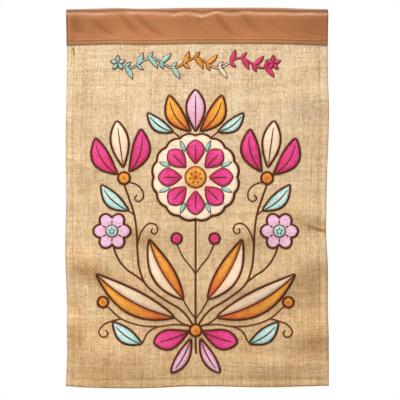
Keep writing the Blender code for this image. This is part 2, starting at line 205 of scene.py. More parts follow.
# Browner patches of painted shade on the yarn, where the folds darken the cloth, uneven in tone.
# Columns: as above, the last one how deep its tone is
SHADES = (
    (-0.1297, 0.3190, 10, 0.024, 0.014, 0.50),
    (-0.0980, 0.3370, 23, 0.055, 0.011, 0.65),
    (-0.0692, 0.2790, 35, 0.020, 0.011, 0.75),
    (0.0578, 0.2880, -20, 0.018, 0.013, 0.75),
    (-0.1442, 0.3996, 90, 0.020, 0.010, 0.75),
    (-0.1152, 0.4400, 6, 0.046, 0.018, 0.42),
    (0.0820, 0.3475, 4, 0.036, 0.010, 0.70),
    (0.1341, 0.3318, 90, 0.024, 0.021, 0.70),
    (0.1365, 0.4080, -8, 0.028, 0.019, 0.75),
    (0.0941, 0.4479, 2, 0.060, 0.011, 0.40),
    (0.1389, 0.2628, 10, 0.020, 0.010, 0.60),
    (0.1438, 0.1358, 90, 0.075, 0.012, 0.25),
    (-0.1394, 0.2084, 70, 0.018, 0.011, 0.45),
    (-0.1358, 0.1176, 90, 0.055, 0.010, 0.40),
    (0.0600, 0.4100, 60, 0.020, 0.010, 0.45),
    (-0.0300, 0.4480, 0, 0.032, 0.009, 0.35),
    (0.1440, 0.2680, 17, 0.014, 0.002, 0.90),
)
# Slight waves all over, from the cloth's own unevenness.
# Columns: waves per metre in x, in drop, start, height
SLIGHT_WAVES = (
    (19.0, 11.0, 0.3, 0.00012),
    (-13.0, 23.0, 1.9, 0.00012),
    (31.0, -17.0, 4.1, 0.00008),
    (7.0, 37.0, 2.6, 0.00008),
    (43.0, 29.0, 5.2, 0.00005),
)


def linear(*levels):
    """A colour given as screen levels from 0 to 255, as Blender's own numbers."""
    shares = [level / 255 for level in levels]
    return (*(s / 12.92 if s <= 0.04045 else ((s + 0.055) / 1.055) ** 2.4 for s in shares), 1.0)


def bell(away, width):
    """A soft hill's share of its height, at a distance from its middle."""
    return np.exp(-((away / width) ** 2))


def soft(share):
    """A share held between 0 and 1, and eased at both ends."""
    share = np.clip(share, 0, 1)
    return share**2 * (3 - 2 * share)


def eased(table, at, index=1, steepest=3.0):
    """A table's column, read smoothly between its rows, its slopes held to a few times those between them."""
    places = np.array([row[0] for row in table])
    values = np.array([row[index] for row in table])
    slopes = np.gradient(values, places)
    if steepest:
        steps = np.abs(np.diff(values) / np.diff(places))
        most = steepest * np.minimum(np.append(steps[0], steps), np.append(steps, steps[-1]))
        slopes = np.clip(slopes, -most, most)
    at = np.clip(at, places[0], places[-1])
    k = np.clip(np.searchsorted(places, at) - 1, 0, len(places) - 2)
    span = places[k + 1] - places[k]
    t = (at - places[k]) / span
    start = (1 + 2 * t) * (1 - t) ** 2 * values[k] + t * (1 - t) ** 2 * span * slopes[k]
    end = t**2 * (3 - 2 * t) * values[k + 1] - t**2 * (1 - t) * span * slopes[k + 1]
    return start + end


def grid_place(across, drop):
    """(x, drop) on the uneven outline, of places on the flag's even one."""
    left, right = eased(SIDE_EDGES, drop), eased(SIDE_EDGES, drop, 2)
    x = -FLAG_WIDTH / 2 + left + across / FLAG_WIDTH * (FLAG_WIDTH - left - right)
    top, bottom = eased(LONG_EDGES, x), FLAG_HEIGHT - eased(LONG_EDGES, x, 2)
    return x, top + drop / FLAG_HEIGHT * (bottom - top)


def hem_pucker(x, drop):
    """The ripple and the groove that the hems' stitches draw into the cloth, and the roll along its edge."""
    # Each hem: distance from the stitches, place along them, the roll's place and width, the groove's share
    hems = (
        (x + FLAG_WIDTH / 2 - LEFT_STITCH_IN, drop, -0.0052, 0.0016, 1.0),
        (x - FLAG_WIDTH / 2 + RIGHT_STITCH_IN, drop + 0.002, 0.0062, 0.0016, 1.0),
        (drop - FLAG_HEIGHT + BOTTOM_STITCH_UP, x, 0.0048, 0.0026, 0.4),
    )
    return sum(
        PUCKER_HEIGHT * np.cos(2 * math.pi * along / PUCKER_LENGTH) * bell(away, PUCKER_WIDTH)
        - tight * GROOVE_DEPTH * bell(away, GROOVE_WIDTH)
        + ROLL_HEIGHT * bell(away - roll_at, roll_width)
        for away, along, roll_at, roll_width, tight in hems
    )


def hills(table, x, drop):
    """The heights at each place of all the long soft hills in a table."""
    total = 0.0
    for hill_x, hill_drop, slope, half_length, half_width, height in table:
        turn = math.radians(slope)
        right, down = x - hill_x, drop - hill_drop
        along = right * math.cos(turn) + down * math.sin(turn)
        across = down * math.cos(turn) - right * math.sin(turn)
        total = total + height * bell(along, half_length) * bell(across, half_width)
    return total


def hang(x, drop):
    """How far the hanging cloth stands out towards the front at each place."""
    total = hem_pucker(x, drop) + hills(FOLDS, x, drop)
    for waves_x, waves_drop, start, height in SLIGHT_WAVES:
        total = total + height * np.sin(2 * math.pi * (waves_x * x + waves_drop * drop) + start)
    return total * soft((drop - FOLDS_START_DROP) / (FOLDS_FULL_DROP - FOLDS_START_DROP))


def in_space(x, out, drop):
    """The points that stand this far out to the front from places on the flag."""
    return np.stack(np.broadcast_arrays(x, -out, POLE_LINE_DROP - drop), axis=-1)


def closed_up(mesh):
    """A mesh with its doubles merged and its faces pointing out."""
    bm = bmesh.new()
    bm.from_mesh(mesh)
    bmesh.ops.remove_doubles(bm, verts=bm.verts, dist=MERGE_WITHIN)
    bmesh.ops.recalc_face_normals(bm, faces=bm.faces)
    bm.to_mesh(mesh)
    bm.free()
    mesh.shade_smooth()
    return mesh


def cloth_mesh(name, material, points, places, marks, ring=False):
    """A cloth as a closed mesh: its front and its back, two grids of points, with a wall round their rim.

    Places on the cloth itself are its UV map, and marks are numbers for its material. With ring, the rows
    close on themselves.
    """
    rows, columns = points.shape[1:3]
    number = np.arange(rows * columns).reshape(rows, columns)
    if ring:
        rim = number[0]
        number = np.append(number, number[:, :1], axis=1)
    else:
        rim = np.concatenate([number[0], number[1:, -1], number[-1, -2::-1], number[-2:0:-1, 0]])
    quads = np.stack([number[:-1, :-1], number[:-1, 1:], number[1:, 1:], number[1:, :-1]], axis=-1)
    quads, beside, back = quads.reshape(-1, 4), np.roll(rim, -1), rows * columns
    wall = np.stack([rim, beside, beside + back, rim + back], axis=-1)
    mesh = bpy.data.meshes.new(name)
    mesh.from_pydata(points.reshape(-1, 3).tolist(), [], np.concatenate([quads, quads + back, wall]).tolist())
    corners = np.empty(len(mesh.loops), dtype=np.int32)
    mesh.loops.foreach_get("vertex_index", corners)
    places = np.broadcast_to(places, (*points.shape[:3], 2)).reshape(-1, 2)
    mesh.uv_layers.new(name="cloth").data.foreach_set("uv", places[corners].astype(np.float32).ravel())
    for mark, values in marks.items():
        values = np.broadcast_to(values, points.shape[:3]).astype(np.float32)
        mesh.attributes.new(mark, "FLOAT", "POINT").data.foreach_set("value", values.ravel())
    mesh.materials.append(material)
    return closed_up(mesh)


def add_piece(name, mesh):
    """A finished mesh as a piece of the flag."""
    piece = stand(name, mesh)
    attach(piece, "root")
    return piece


class Out:
    """A node's output. Sums with it are Math nodes, and [name] is another output of the same node."""

    def __init__(self, node, name=0):
        self.node, self.tree, self.socket = node, node.id_data, node.outputs[name]

    def __getitem__(self, name):
        return Out(self.node, name)

    def math(self, operation, *others):
        return add_node(self.tree, "ShaderNodeMath", dict(enumerate((self, *others))), operation=operation)

    def __add__(self, other):
        return self.math("ADD", other)

    def __sub__(self, other):
        return self.math("SUBTRACT", other)

    def __rsub__(self, other):
        return self.math("MULTIPLY_ADD", -1.0, other)

    def __mul__(self, other):
        return self.math("MULTIPLY", other)

    def __truediv__(self, other):
        return self.math("DIVIDE", other)

    def ramp(self, start, end, low=0.0, high=1.0, kind="LINEAR"):
        """How far this value is from start to end, laid between low and high."""
        limits = {"Value": self, "From Min": start, "From Max": end, "To Min": low, "To Max": high}
        return add_node(self.tree, "ShaderNodeMapRange", limits, interpolation_type=kind)

    def noise(self, scale, detail=2.0, rough=0.5):
        """Noise at this place."""
        sizes = {"Vector": self, "Scale": scale, "Detail": detail, "Roughness": rough}
        return add_node(self.tree, "ShaderNodeTexNoise", sizes)

    def dyed(self, share, tone):
        """This colour multiplied by a share of a tone."""
        return mixed(share, self, tone, "MULTIPLY")


def feed(socket, value):
    """Link a node's output to an input, or set the input to a value."""
    if isinstance(value, Out):
        socket.id_data.links.new(value.socket, socket)
    else:
        socket.default_value = value


def add_node(tree, kind, inputs=None, out=0, **settings):
    """The output of a new node, with its settings and what goes into its inputs."""
    made = tree.nodes.new(kind)
    for key, value in settings.items():
        setattr(made, key, value)
    for key, value in (inputs or {}).items():
        feed(made.inputs[key], value)
    return Out(made, out)


def mixed(share, first, second, kind="MIX"):
    """A first colour with a share of a second. Each colour is a node's output or screen levels."""
    tree = next(value.tree for value in (share, first, second) if isinstance(value, Out))
    first, second = (c if isinstance(c, Out) else linear(*c) for c in (first, second))
    colours = {0: share, 6: first, 7: second}
    return add_node(tree, "ShaderNodeMix", colours, 2, data_type="RGBA", blend_type=kind)


def new_tree(name, kind, inputs, outputs):
    """A node tree with its named sockets. An input is given as its kind, or as a number's usual value."""
    tree = bpy.data.node_groups.new(name, kind)
    for label, given in inputs.items():
        number = isinstance(given, float)
        socket_kind = "NodeSocketFloat" if number else f"NodeSocket{given}"
        socket = tree.interface.new_socket(label, in_out="INPUT", socket_type=socket_kind)
        if number:
            socket.default_value = given
    for label, given in outputs.items():
        tree.interface.new_socket(label, in_out="OUTPUT", socket_type=f"NodeSocket{given}")
    return tree, Out(tree.nodes.new("NodeGroupInput")), tree.nodes.new("NodeGroupOutput").inputs


def weave_group():
    """Plain weave: threads both ways, each with its own tone and slubs, and the top thread's height."""
    inputs = {
        "Place": "Vector", "Pitch": 0.001, "Slub Threads": 8.0, "Dark": "Color", "Light": "Color",
        "Contrast": 1.0, "Grain": 0.0, "Warp Lift": 0.0,
    }
    group, given, put = new_tree("plain_weave", "ShaderNodeTree", inputs, TONE_AND_HEIGHT)
    place = add_node(group, "ShaderNodeSeparateXYZ", {"Vector": given["Place"]})
    u, v = place["X"] / given["Pitch"], place["Y"] / given["Pitch"]
    warp, weft = u.math("FLOOR"), v.math("FLOOR")
    warp_up = (warp + weft).math("FLOORED_MODULO", 2.0)
    round_u = ((u - warp - 0.5) * math.pi).math("COSINE")
    round_v = ((v - weft - 0.5) * math.pi).math("COSINE")
    warp_height = round_u * (round_v * 0.45 + 0.55) * warp_up
    weft_height = round_v * (round_u * 0.45 + 0.55) * (1.0 - warp_up)
    height = warp_height + weft_height

    def thread_tone(number, along, start):
        """A thread's tone along its length: slubs in a slow streak."""
        slow, side = along / given["Slub Threads"], number * 3.71 + start
        slub, streak = (
            add_node(group, "ShaderNodeCombineXYZ", {"X": side, "Y": y, "Z": start}).noise(1.0, detail)
            for y, detail in ((slow, 1.0), (slow * 0.13, 0.0))
        )
        return streak * 0.4 + slub * 0.6

    warp_tone, weft_tone = thread_tone(warp, v, 11.3), thread_tone(weft, u, 57.9)
    top_tone = add_node(group, "ShaderNodeMix", {0: warp_up, 2: weft_tone, 3: warp_tone})
    tone = top_tone * 0.4 + (warp_tone + weft_tone) * 0.3
    crossing = add_node(group, "ShaderNodeCombineXYZ", {"X": warp, "Y": weft})
    speck = add_node(group, "ShaderNodeTexWhiteNoise", {"Vector": crossing}, "Value")
    level = (tone - 0.5) * given["Contrast"] + 0.5
    level = level + (speck - 0.5) * given["Grain"] + (warp_up - 0.5) * given["Warp Lift"]
    colour = mixed(level, given["Dark"], given["Light"])
    # Painted shade: each thread is darker where it dips low, between the threads.
    feed(put["Colour"], colour.dyed(1.0, height * 0.34 + 0.76))
    feed(put["Height"], height)
    return group


WEAVE = weave_group()


def weave(place, **values):
    """The weave group with one cloth's values."""
    inputs = {key.replace("_", " "): value for key, value in values.items()}
    return add_node(place.tree, "ShaderNodeGroup", {"Place": place, **inputs}, node_tree=WEAVE)


def mark(tree, name):
    """One of the piece's marks."""
    return add_node(tree, "ShaderNodeAttribute", out="Fac", attribute_name=name)


def cloth_place(tree):
    """The piece's own UV map, which holds its cloth's places in metres."""
    return add_node(tree, "ShaderNodeUVMap", uv_map="cloth")


def bump_onto(shader, height, distance, strength):
    """A bump of real height on the shader."""
    sizes = {"Height": height, "Distance": distance, "Strength": strength}
    feed(shader.inputs["Normal"], add_node(height.tree, "ShaderNodeBump", sizes))


def burlap_cloth():
    """Natural jute-look yarn: dry, slubby, mottled, with painted shade and a painted highlight by its side
    hems.
    """
    material, shader = plain_shader(
        "burlap_cloth", Roughness=0.92, Sheen_Weight=0.15, Specular_IOR_Level=0.15
    )
    tree = material.node_tree
    place = cloth_place(tree)
    wander = {0: place.noise(38.0)["Color"], 1: [THREAD_WANDER] * 3, 2: place}
    threads = weave(
        add_node(tree, "ShaderNodeVectorMath", wander, operation="MULTIPLY_ADD"),
        Pitch=THREAD_PITCH,
        Slub_Threads=9.0,
        Dark=linear(157, 116, 68),
        Light=linear(250, 230, 195),
        Contrast=1.50,
        Grain=0.30,
        Warp_Lift=0.26,
    )
    apart = add_node(tree, "ShaderNodeSeparateXYZ", {"Vector": place})
    from_side = apart["X"].math("MINIMUM", FLAG_WIDTH - apart["X"])
    from_edge = (from_side * 1.7).math("MINIMUM", FLAG_HEIGHT - apart["Y"])
    from_strip = (from_side - PALE_STRIP_IN).math("ABSOLUTE")
    colour = threads["Colour"].dyed(place.noise(26.0).ramp(0.35, 0.68, high=0.25), (236, 200, 150))
    # Painted shade: darker and warmer towards the bottom.
    colour = colour.dyed(apart["Y"].ramp(0.12, 0.40), (255, 244, 226))
    # Painted shade along the rolled edges.
    colour = colour.dyed(from_edge.ramp(0.0022, 0.0004), (208, 182, 128))
    # Painted highlight: a pale strip along the roll of each side hem.
    colour = mixed(from_strip.ramp(0.0016, 0.0004, high=0.12), colour, (234, 215, 186))
    # Painted shade: browner patches where the folds darken the cloth, broken up by noise.
    painted_shade = mark(tree, "shade") * (place.noise(75.0, 3.0, 0.6) * 1.6 + 0.2)
    feed(shader.inputs["Base Color"], colour.dyed(painted_shade, (228, 209, 182)))
    bump_onto(shader, threads["Height"], 0.0004, 0.65)
    return material


def edge_lines(start, hem_start, hem_end, end):
    """Places of a sheet's lines: close at rounded edges and where a hem's layer runs out, even between."""
    half = HEM_STEP / 2
    first, last = hem_start + HEM_STEP, hem_end - HEM_STEP
    even = np.linspace(first, last, round((last - first) / FINE_CELL) + 1)
    rounding = EDGE_ROUNDING * np.array([0.0, 0.15, 0.45, *range(1, 9), 8.5, 9.0, 9.5, 10.0])
    left = [p for p in start + rounding if p < hem_start - half]
    right = [p for p in end - rounding[::-1] if p > hem_end + half]
    return np.array([*left, hem_start, hem_start + half, *even, hem_end - half, hem_end, *right])


def run_out(distance):
    """How much of a turned hem's layer is there, this far beyond its end."""
    return 1 - soft(distance / HEM_STEP)


def closer(lines, start, end):
    """The same lines, with one more between each two within this stretch."""
    middles = (lines[1:] + lines[:-1]) / 2
    return np.sort(np.append(lines, middles[(middles > start) & (middles < end)]))


def panel_mesh():
    """The burlap as one closed sheet, front and back, its hems thicker and its turned edges round."""
    columns = edge_lines(0.0, HEM_WIDTH, FLAG_WIDTH - HEM_WIDTH, FLAG_WIDTH)
    rows = edge_lines(BURLAP_TOP_DROP, HEM_TOP_DROP, FLAG_HEIGHT - HEM_WIDTH, FLAG_HEIGHT)
    across, drop = np.meshgrid(closer(columns, *SHARP_CREASE_ACROSS), closer(rows, *SHARP_CREASE_DROPS))
    x, real_drop = grid_place(across, drop)
    from_side, from_bottom = np.minimum(across, FLAG_WIDTH - across), FLAG_HEIGHT - drop
    hem = np.maximum(run_out(from_side - HEM_WIDTH), run_out(from_bottom - HEM_WIDTH))
    hem = hem * (1 - run_out(drop - HEM_TOP_DROP))
    front, back = BURLAP_FACE, -BURLAP_FACE - HEM_EXTRA * hem
    into = np.clip(np.minimum(from_side, from_bottom) / EDGE_ROUNDING, 0, 1)
    rounded = np.maximum(EDGE_BLUNTNESS, np.sqrt(1 - (1 - into) ** 2))
    half = (front - back) / 2 * rounded * np.array([1, -1])[:, None, None]
    points = in_space(x, hang(x, real_drop) + (front + back) / 2 + half, real_drop)
    # The mark for the patches of painted shade.
    marks = {"shade": np.clip(hills(SHADES, x, real_drop), 0, 1)}
    return cloth_mesh("panel", burlap_cloth(), points, np.stack([across, drop], axis=-1), marks)


panel = add_piece("panel", panel_mesh())
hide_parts("burlap_panel")

# The sleeve: one strip of brown satin, folded over into a tunnel for the pole and sewn to both sides of the
# panel. Its lower edges and open ends are turned under and topstitched, and soft creases slant across it.
SLEEVE_CUT = (0.3370, 0.1110)
SLEEVE_LEG = BURLAP_FACE + GAP
SLEEVE_STATIONS = 181
SLEEVE_POINTS = 140
SLEEVE_END_STEP = 0.0004
TOP_FADE = 0.003
# Columns: drop, half depth. The top edge is pressed flat, and the tunnel's bulge starts at a ridge under it.
SLEEVE_OUTER = (
    (0.0000, 0.0000), (0.0003, 0.0024), (0.0008, 0.0038), (0.0018, 0.0043), (0.0032, 0.0044),
    (0.0044, 0.0046), (0.0051, 0.0052), (0.0060, 0.0064), (0.0069, 0.0071), (0.0085, 0.0074),
    (0.0125, 0.0071), (0.0175, 0.0058), (0.0245, 0.0040), (0.0305, 0.0028), (0.0350, 0.0022),
    (0.0392, 0.0018), (0.0418, 0.0019), (0.0427, 0.0017), (0.0430, 0.0013),
)
SLEEVE_INNER = (
    (0.0010, 0.0000), (0.0015, 0.0022), (0.0026, 0.0032), (0.0044, 0.0035), (0.0056, 0.0042),
    (0.0066, 0.0054), (0.0085, 0.0063), (0.0125, 0.0060), (0.0170, 0.0047), (0.0235, 0.0028),
    (0.0290, 0.0014), (0.0325, 0.0003), (0.0345, 0.0003),
    (0.0358, SLEEVE_LEG), (0.0390, SLEEVE_LEG), (0.0430, SLEEVE_LEG),
)
# The ridge under the top strip wanders up and down. Columns: x, how far below the sleeve's own top it runs
RIDGE_LINE = (
    (-0.1563, 0.0056), (-0.1358, 0.0061), (-0.1273, 0.0070), (-0.1176, 0.0073), (-0.0958, 0.0062),
    (-0.0813, 0.0056), (-0.0632, 0.0056), (-0.0450, 0.0065), (-0.0353, 0.0071), (-0.0281, 0.0088),
    (-0.0220, 0.0078), (-0.0111, 0.0071), (-0.0002, 0.0094), (0.0058, 0.0114), (0.0106, 0.0096),
    (0.0155, 0.0079), (0.0215, 0.0064), (0.0373, 0.0082), (0.0469, 0.0081), (0.0566, 0.0066),
    (0.0736, 0.0077), (0.0881, 0.0079), (0.1026, 0.0073), (0.1123, 0.0078), (0.1304, 0.0070),
    (0.1575, 0.0061),
)
RIDGE_DROP = 0.0058
RIDGE_REACH = 0.0060
RIDGE_DENSITY = 2.5
RIDGE_DENSE_REACH = 0.004
# The band of painted highlight along the ridge: how far above it, how wide, and how it widens where the ridge
# dips.
RIDGE_MARK_UP = 0.0002
RIDGE_BAND = 0.0011
RIDGE_DIP_FROM = 0.0078
RIDGE_DIP_SHARE = 0.3
RIDGE_DIP_FULL = 0.003
# Creases that curve down across the front, each a soft trough.
# Columns: x and drop at its upper end, x and drop at its lower end, bow to the left, reach across it, depth
SLEEVE_CREASES = (
    (-0.1470, 0.0120, -0.1400, 0.0300, 0.0010, 0.0080, 0.0007),
    (-0.1225, 0.0166, -0.1040, 0.0330, 0.0020, 0.0060, 0.0008),
    (-0.0904, 0.0075, -0.0705, 0.0325, 0.0024, 0.0056, 0.0008),
    (-0.0722, 0.0075, -0.0445, 0.0335, 0.0034, 0.0058, 0.0009),
    (-0.0123, 0.0063, -0.0125, 0.0270, -0.0008, 0.0026, 0.0004),
    (0.0010, 0.0150, 0.0110, 0.0320, 0.0020, 0.0036, 0.0003),
    (0.0236, 0.0062, 0.0432, 0.0330, 0.0030, 0.0056, 0.0009),
    (0.0566, 0.0090, 0.0740, 0.0310, 0.0024, 0.0048, 0.0007),
    (0.0857, 0.0166, 0.1123, 0.0347, 0.0030, 0.0050, 0.0003),
    (0.1244, 0.0263, 0.1500, 0.0335, 0.0000, 0.0090, 0.0004),
)
DEEPEST_CREASE = 0.0009
# Ridges and dips that run along the seam. Columns: drop, half width, height
SEAM_LINES = ((0.0376, 0.0009, 0.00030), (0.0402, 0.0009, -0.00016), (0.0423, 0.0006, 0.00024))
END_HEM_WIDTH = 0.0085
END_HEM_EXTRA = 0.0005


def run_along(path):
    """How far along a line each of its points lies."""
    return np.append(0, np.cumsum(np.linalg.norm(np.diff(path, axis=0), axis=1)))


def read_along(at, run, path):
    """The places on a line this far along it."""
    return np.stack([np.interp(at, run, column) for column in path.T], axis=-1)


def smooth_path(points, count):
    """Evenly spaced points on a smooth line through the given ones."""
    points = np.array(points, dtype=float)
    run = run_along(points)
    table = list(zip(run, *points.T))
    fine = np.linspace(0, run[-1], 12 * count)
    line = np.stack([eased(table, fine, k, steepest=None) for k in (1, 2)], axis=-1)
    run = run_along(line)
    return read_along(np.linspace(0, run[-1], count), run, line)


def sleeve_crease(x, drop):
    """How far the slanting creases draw the sleeve's wall in."""
    total = 0.0
    for top_x, top_drop, bottom_x, bottom_drop, bow, reach, depth in SLEEVE_CREASES:
        share = (drop - top_drop) / (bottom_drop - top_drop)
        away = x - top_x - share * (bottom_x - top_x) + 4 * bow * share * (1 - share)
        total = total + depth * np.exp(-(np.abs(1.8 * share - 0.9) ** 4)) * bell(away, reach)
    return total


def sleeve_line_points(table):
    """The strip's line round the tunnel, front to back, its points closest where the front's ridge runs."""
    path = smooth_path([*((drop, -depth) for drop, depth in table[::-1]), *table[1:]], 4 * SLEEVE_POINTS)
    weight = 1 + RIDGE_DENSITY * bell(path[:, 0] - RIDGE_DROP, RIDGE_DENSE_REACH) * (path[:, 1] < 0)
    run = np.append(0, np.cumsum((weight[1:] + weight[:-1]) / 2))
    return read_along(np.linspace(0, run[-1], SLEEVE_POINTS), run, path)


def sleeve_mesh():
    """The strip's outer and inner face, both swept along the flag's top from end to end."""
    half = FLAG_WIDTH / 2 - SIDE_EDGES[0][1]
    near_ends = [SLEEVE_END_STEP - half, half - SLEEVE_END_STEP]
    x = np.sort(np.append(np.linspace(-half, half, SLEEVE_STATIONS), near_ends))[:, None]
    paths = [sleeve_line_points(table) for table in (SLEEVE_OUTER, SLEEVE_INNER)]
    along = np.stack([SLEEVE_CUT[1] * run / run[-1] for run in map(run_along, paths)])[:, None]
    drop, depth = np.moveaxis(np.stack(paths)[:, None], -1, 0)
    is_outer, is_front = np.array([1, 0])[:, None, None], depth < 0
    seam = sum(height * bell(drop - at, width) for at, width, height in SEAM_LINES)
    end_hem = END_HEM_EXTRA * run_out(half - np.abs(x) - END_HEM_WIDTH)
    proud = (seam + end_hem * (drop > SLEEVE_INNER[0][0])) * is_outer
    crease = sleeve_crease(x, drop) * is_front
    out = np.where(is_front, proud, -proud) - depth - crease
    to_ridge = eased(RIDGE_LINE, x) - RIDGE_DROP
    lowered = to_ridge * bell(drop - RIDGE_DROP, RIDGE_REACH) * is_front * np.clip(drop / TOP_FADE, 0, 1)
    points = in_space(x, out, eased(LONG_EDGES, x) + drop + lowered)
    # Marks for a painted highlight along the ridge, spread where it dips, and painted shade in the creases.
    dip = np.maximum(0.0, eased(RIDGE_LINE, x) - RIDGE_DIP_FROM)
    from_ridge = drop - RIDGE_DROP + RIDGE_MARK_UP
    ridge = bell(from_ridge, RIDGE_BAND + RIDGE_DIP_SHARE * dip * (from_ridge < 0)) * is_front * is_outer
    dip_highlight = ridge * np.clip(dip / RIDGE_DIP_FULL, 0, 1)
    marks = {"crease": crease / DEEPEST_CREASE, "ridge": ridge, "dip": dip_highlight}
    places = np.stack(np.broadcast_arrays(x, along), axis=-1)
    return cloth_mesh("sleeve", sleeve_satin(), points, places, marks)


def sleeve_satin():
    """Smooth brown satin, duller and darker towards its ends, with a painted highlight and painted shade on
    it.
    """
    material, shader = plain_shader("sleeve_satin", Roughness=0.36, Specular_IOR_Level=0.5, Sheen_Weight=0.1)
    shader.inputs["Sheen Tint"].default_value = linear(255, 214, 176)
    tree = material.node_tree
    place = cloth_place(tree)
    cloud = place.noise(26.0, 3.0, 0.55)
    crease, ridge, dip = (mark(tree, name) for name in ("crease", "ridge", "dip"))
    apart = add_node(tree, "ShaderNodeSeparateXYZ", {"Vector": place})
    from_middle = apart["X"].math("ABSOLUTE")
    from_fold = (apart["Y"] - SLEEVE_CUT[1] / 2).math("ABSOLUTE")
    colour = mixed(cloud, (160, 99, 56), (184, 120, 74))
    for value, start, end, tone in (
        (from_middle, 0.085, 0.150, (232, 229, 224)),
        (from_middle, 0.1553, 0.1572, (206, 190, 176)),
        # Painted shade on the pressed top strip, near the fold.
        (from_fold, 0.0105, 0.0075, (206, 194, 166)),
        # Painted shade on the low band along the seam.
        (from_fold, 0.0455, 0.0485, (236, 234, 222)),
        # Painted shade in the creases' troughs.
        (crease, 0.0, 1.0, (234, 222, 212)),
        # Painted highlight along the ridge, toned to a greyer brown here.
        (ridge, 0.0, 1.0, (180, 210, 200)),
    ):
        colour = colour.dyed(value.ramp(start, end, kind="SMOOTHSTEP"), tone)
    # Painted highlight along the ridge, paler in patches.
    colour = mixed(ridge * (cloud * 1.8 - 0.60), colour, (204, 160, 126))
    # More painted highlight where the ridge dips low.
    colour = mixed(dip * 0.30, colour, (206, 166, 132))
    feed(shader.inputs["Base Color"], colour)
    feed(shader.inputs["Roughness"], ridge * 0.22 + cloud.ramp(0.0, 1.0, 0.30, 0.42))
    fine = weave(place, Pitch=0.00035)["Height"]
    bump_onto(shader, place.noise(140.0, 3.0, 0.6) * 6.0 + fine, 0.00005, 0.7)
    return material


sleeve = add_piece("sleeve", sleeve_mesh())
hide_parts("pole_sleeve")

# The round flower: a scalloped medallion of cream satin with eight magenta petals and an orange heart sewn on
# it. Each patch is cut from backed cloth with a printed shade, and its middle stands a little proud.
MOTIF_X = -0.0020
PATCH_THICK = 0.0010
PATCH_RIM = 0.0004
PATCH_SEAM = 0.0005
PATCH_CROWN = 0.0003
RIM_RISE = 0.0014
CROWN_RISE = 0.0050
INSET_SHARES = (0.0, 0.05, 0.12, 0.22, 0.36, 0.55, 0.78, 1.0)
BLADE_STATIONS = 44
ROUND_POINTS = 56
POINTS_PER_PETAL = 12
PETAL_ROUNDNESS = 0.8
WHOLE_SPINE = (0.10, 0.90)
HALF_SPINE = (0.08, 0.92)
ROSE_MIDDLE = (MOTIF_X, 0.205)
MEDALLION = (0.0500, 16, 0.0028)
ROSE_PETALS = 8
ROSE_PETAL_RADII = (0.0165, 0.0450)
ROSE_PETAL_BUILD = (0.0, 0.0105, 1.35, 0.7)
ROSE_HEART_RADIUS = 0.0125
SPECK_CONTRAST = 9.0
EDGE_TONE_WIDTH = 0.0035

# Screen colours at a patch's foot, its tip and along its edge, then its roughness, sheen, crumples and specks
PRINTS = {
    "cream": ((220, 184, 148), (238, 213, 183), (206, 168, 130), 0.60, 0.1, 15.0, 0.14),
    "magenta": ((198, 36, 94), (220, 68, 134), (170, 30, 74), 0.85, 0.1, 6.0, 0.34),
    "pink": ((214, 150, 168), (224, 180, 202), (196, 122, 146), 0.80, 0.1, 6.0, 0.22),
    "orange": ((196, 90, 28), (228, 166, 58), (184, 78, 24), 0.75, 0.1, 7.0, 0.24),
    "aqua": ((152, 200, 188), (200, 222, 212), (122, 176, 166), 0.70, 0.1, 7.0, 0.18),
}


def print_group():
    """A printed shade on cloth: from foot to tip, deeper along the edge, specked and crumpled."""
    inputs = {
        "Place": "Vector", "Along": 0.5, "Inset": 0.0, "Specks": 0.2,
        "Foot": "Color", "Tip": "Color", "Edge": "Color",
    }
    group, given, put = new_tree("printed_shade", "ShaderNodeTree", inputs, TONE_AND_HEIGHT)
    place = given["Place"]
    cloud = place.noise(90.0, 3.0, 0.6)
    along = given["Along"] + (cloud * 0.5 - 0.25)
    colour = mixed(along.ramp(0.05, 0.85, kind="SMOOTHSTEP"), given["Foot"], given["Tip"])
    inward = given["Inset"] / EDGE_TONE_WIDTH - 0.4 + cloud * 0.8
    colour = mixed(inward.ramp(0.2, 1.3, 0.70, 0.0, "SMOOTHSTEP"), colour, given["Edge"])
    specks = (place.noise(420.0, 4.0, 0.8) - 0.5) * given["Specks"]
    feed(put["Colour"], colour.dyed(1.0, specks * SPECK_CONTRAST + 0.98))
    drawn = add_node(group, "ShaderNodeVectorMath", {0: place, 1: (0.45, 1.0, 1.0)}, operation="MULTIPLY")
    feed(put["Height"], drawn.noise(150.0))
    return group


PRINT = print_group()


def printed_cloth(name):
    """One colour's appliqué cloth: fine weave under a printed shade."""
    foot, tip, edge, roughness, sheen, crumples, specks = PRINTS[name]
    material, shader = plain_shader(
        f"{name}_cloth", Roughness=roughness, Sheen_Weight=sheen, Specular_IOR_Level=0.3
    )
    tree = material.node_tree
    place = cloth_place(tree)
    values = {"Place": place, "Along": mark(tree, "along"), "Inset": mark(tree, "inset"), "Specks": specks}
    colours = {"Foot": linear(*foot), "Tip": linear(*tip), "Edge": linear(*edge)}
    printed = add_node(tree, "ShaderNodeGroup", {**values, **colours}, node_tree=PRINT)
    feed(shader.inputs["Base Color"], printed["Colour"])
    threads = weave(place, Pitch=0.0006)["Height"]
    bump_onto(shader, printed["Height"] * crumples + threads, 0.00012, 0.8)
    return material


CLOTHS = {name: printed_cloth(name) for name in PRINTS}


def bowed_line(foot, tip, bow, t):
    """The places at shares t of a bowed line, and the direction to its bowed side."""
    foot, run = np.array(foot), np.array(tip) - np.array(foot)
    out = np.array([-run[1], run[0]]) / np.hypot(*run)
    return foot + run * t[:, None] + out * (4 * bow * t * (1 - t))[:, None], out


def blade(foot, tip, bow, half_width, skew, fullness):
    """A petal or leaf on a bowed vein: its vein, and its edges on the outer and the inner side."""
    t = (1 - np.cos(np.linspace(0, math.pi, BLADE_STATIONS))) / 2
    vein, out = bowed_line(foot, tip, bow, t)
    swell = half_width * np.abs(np.sin(math.pi * t**skew)) ** fullness
    swell[[0, -1]] = 0.0
    return vein, vein + out * swell[:, None], vein - out * swell[:, None]


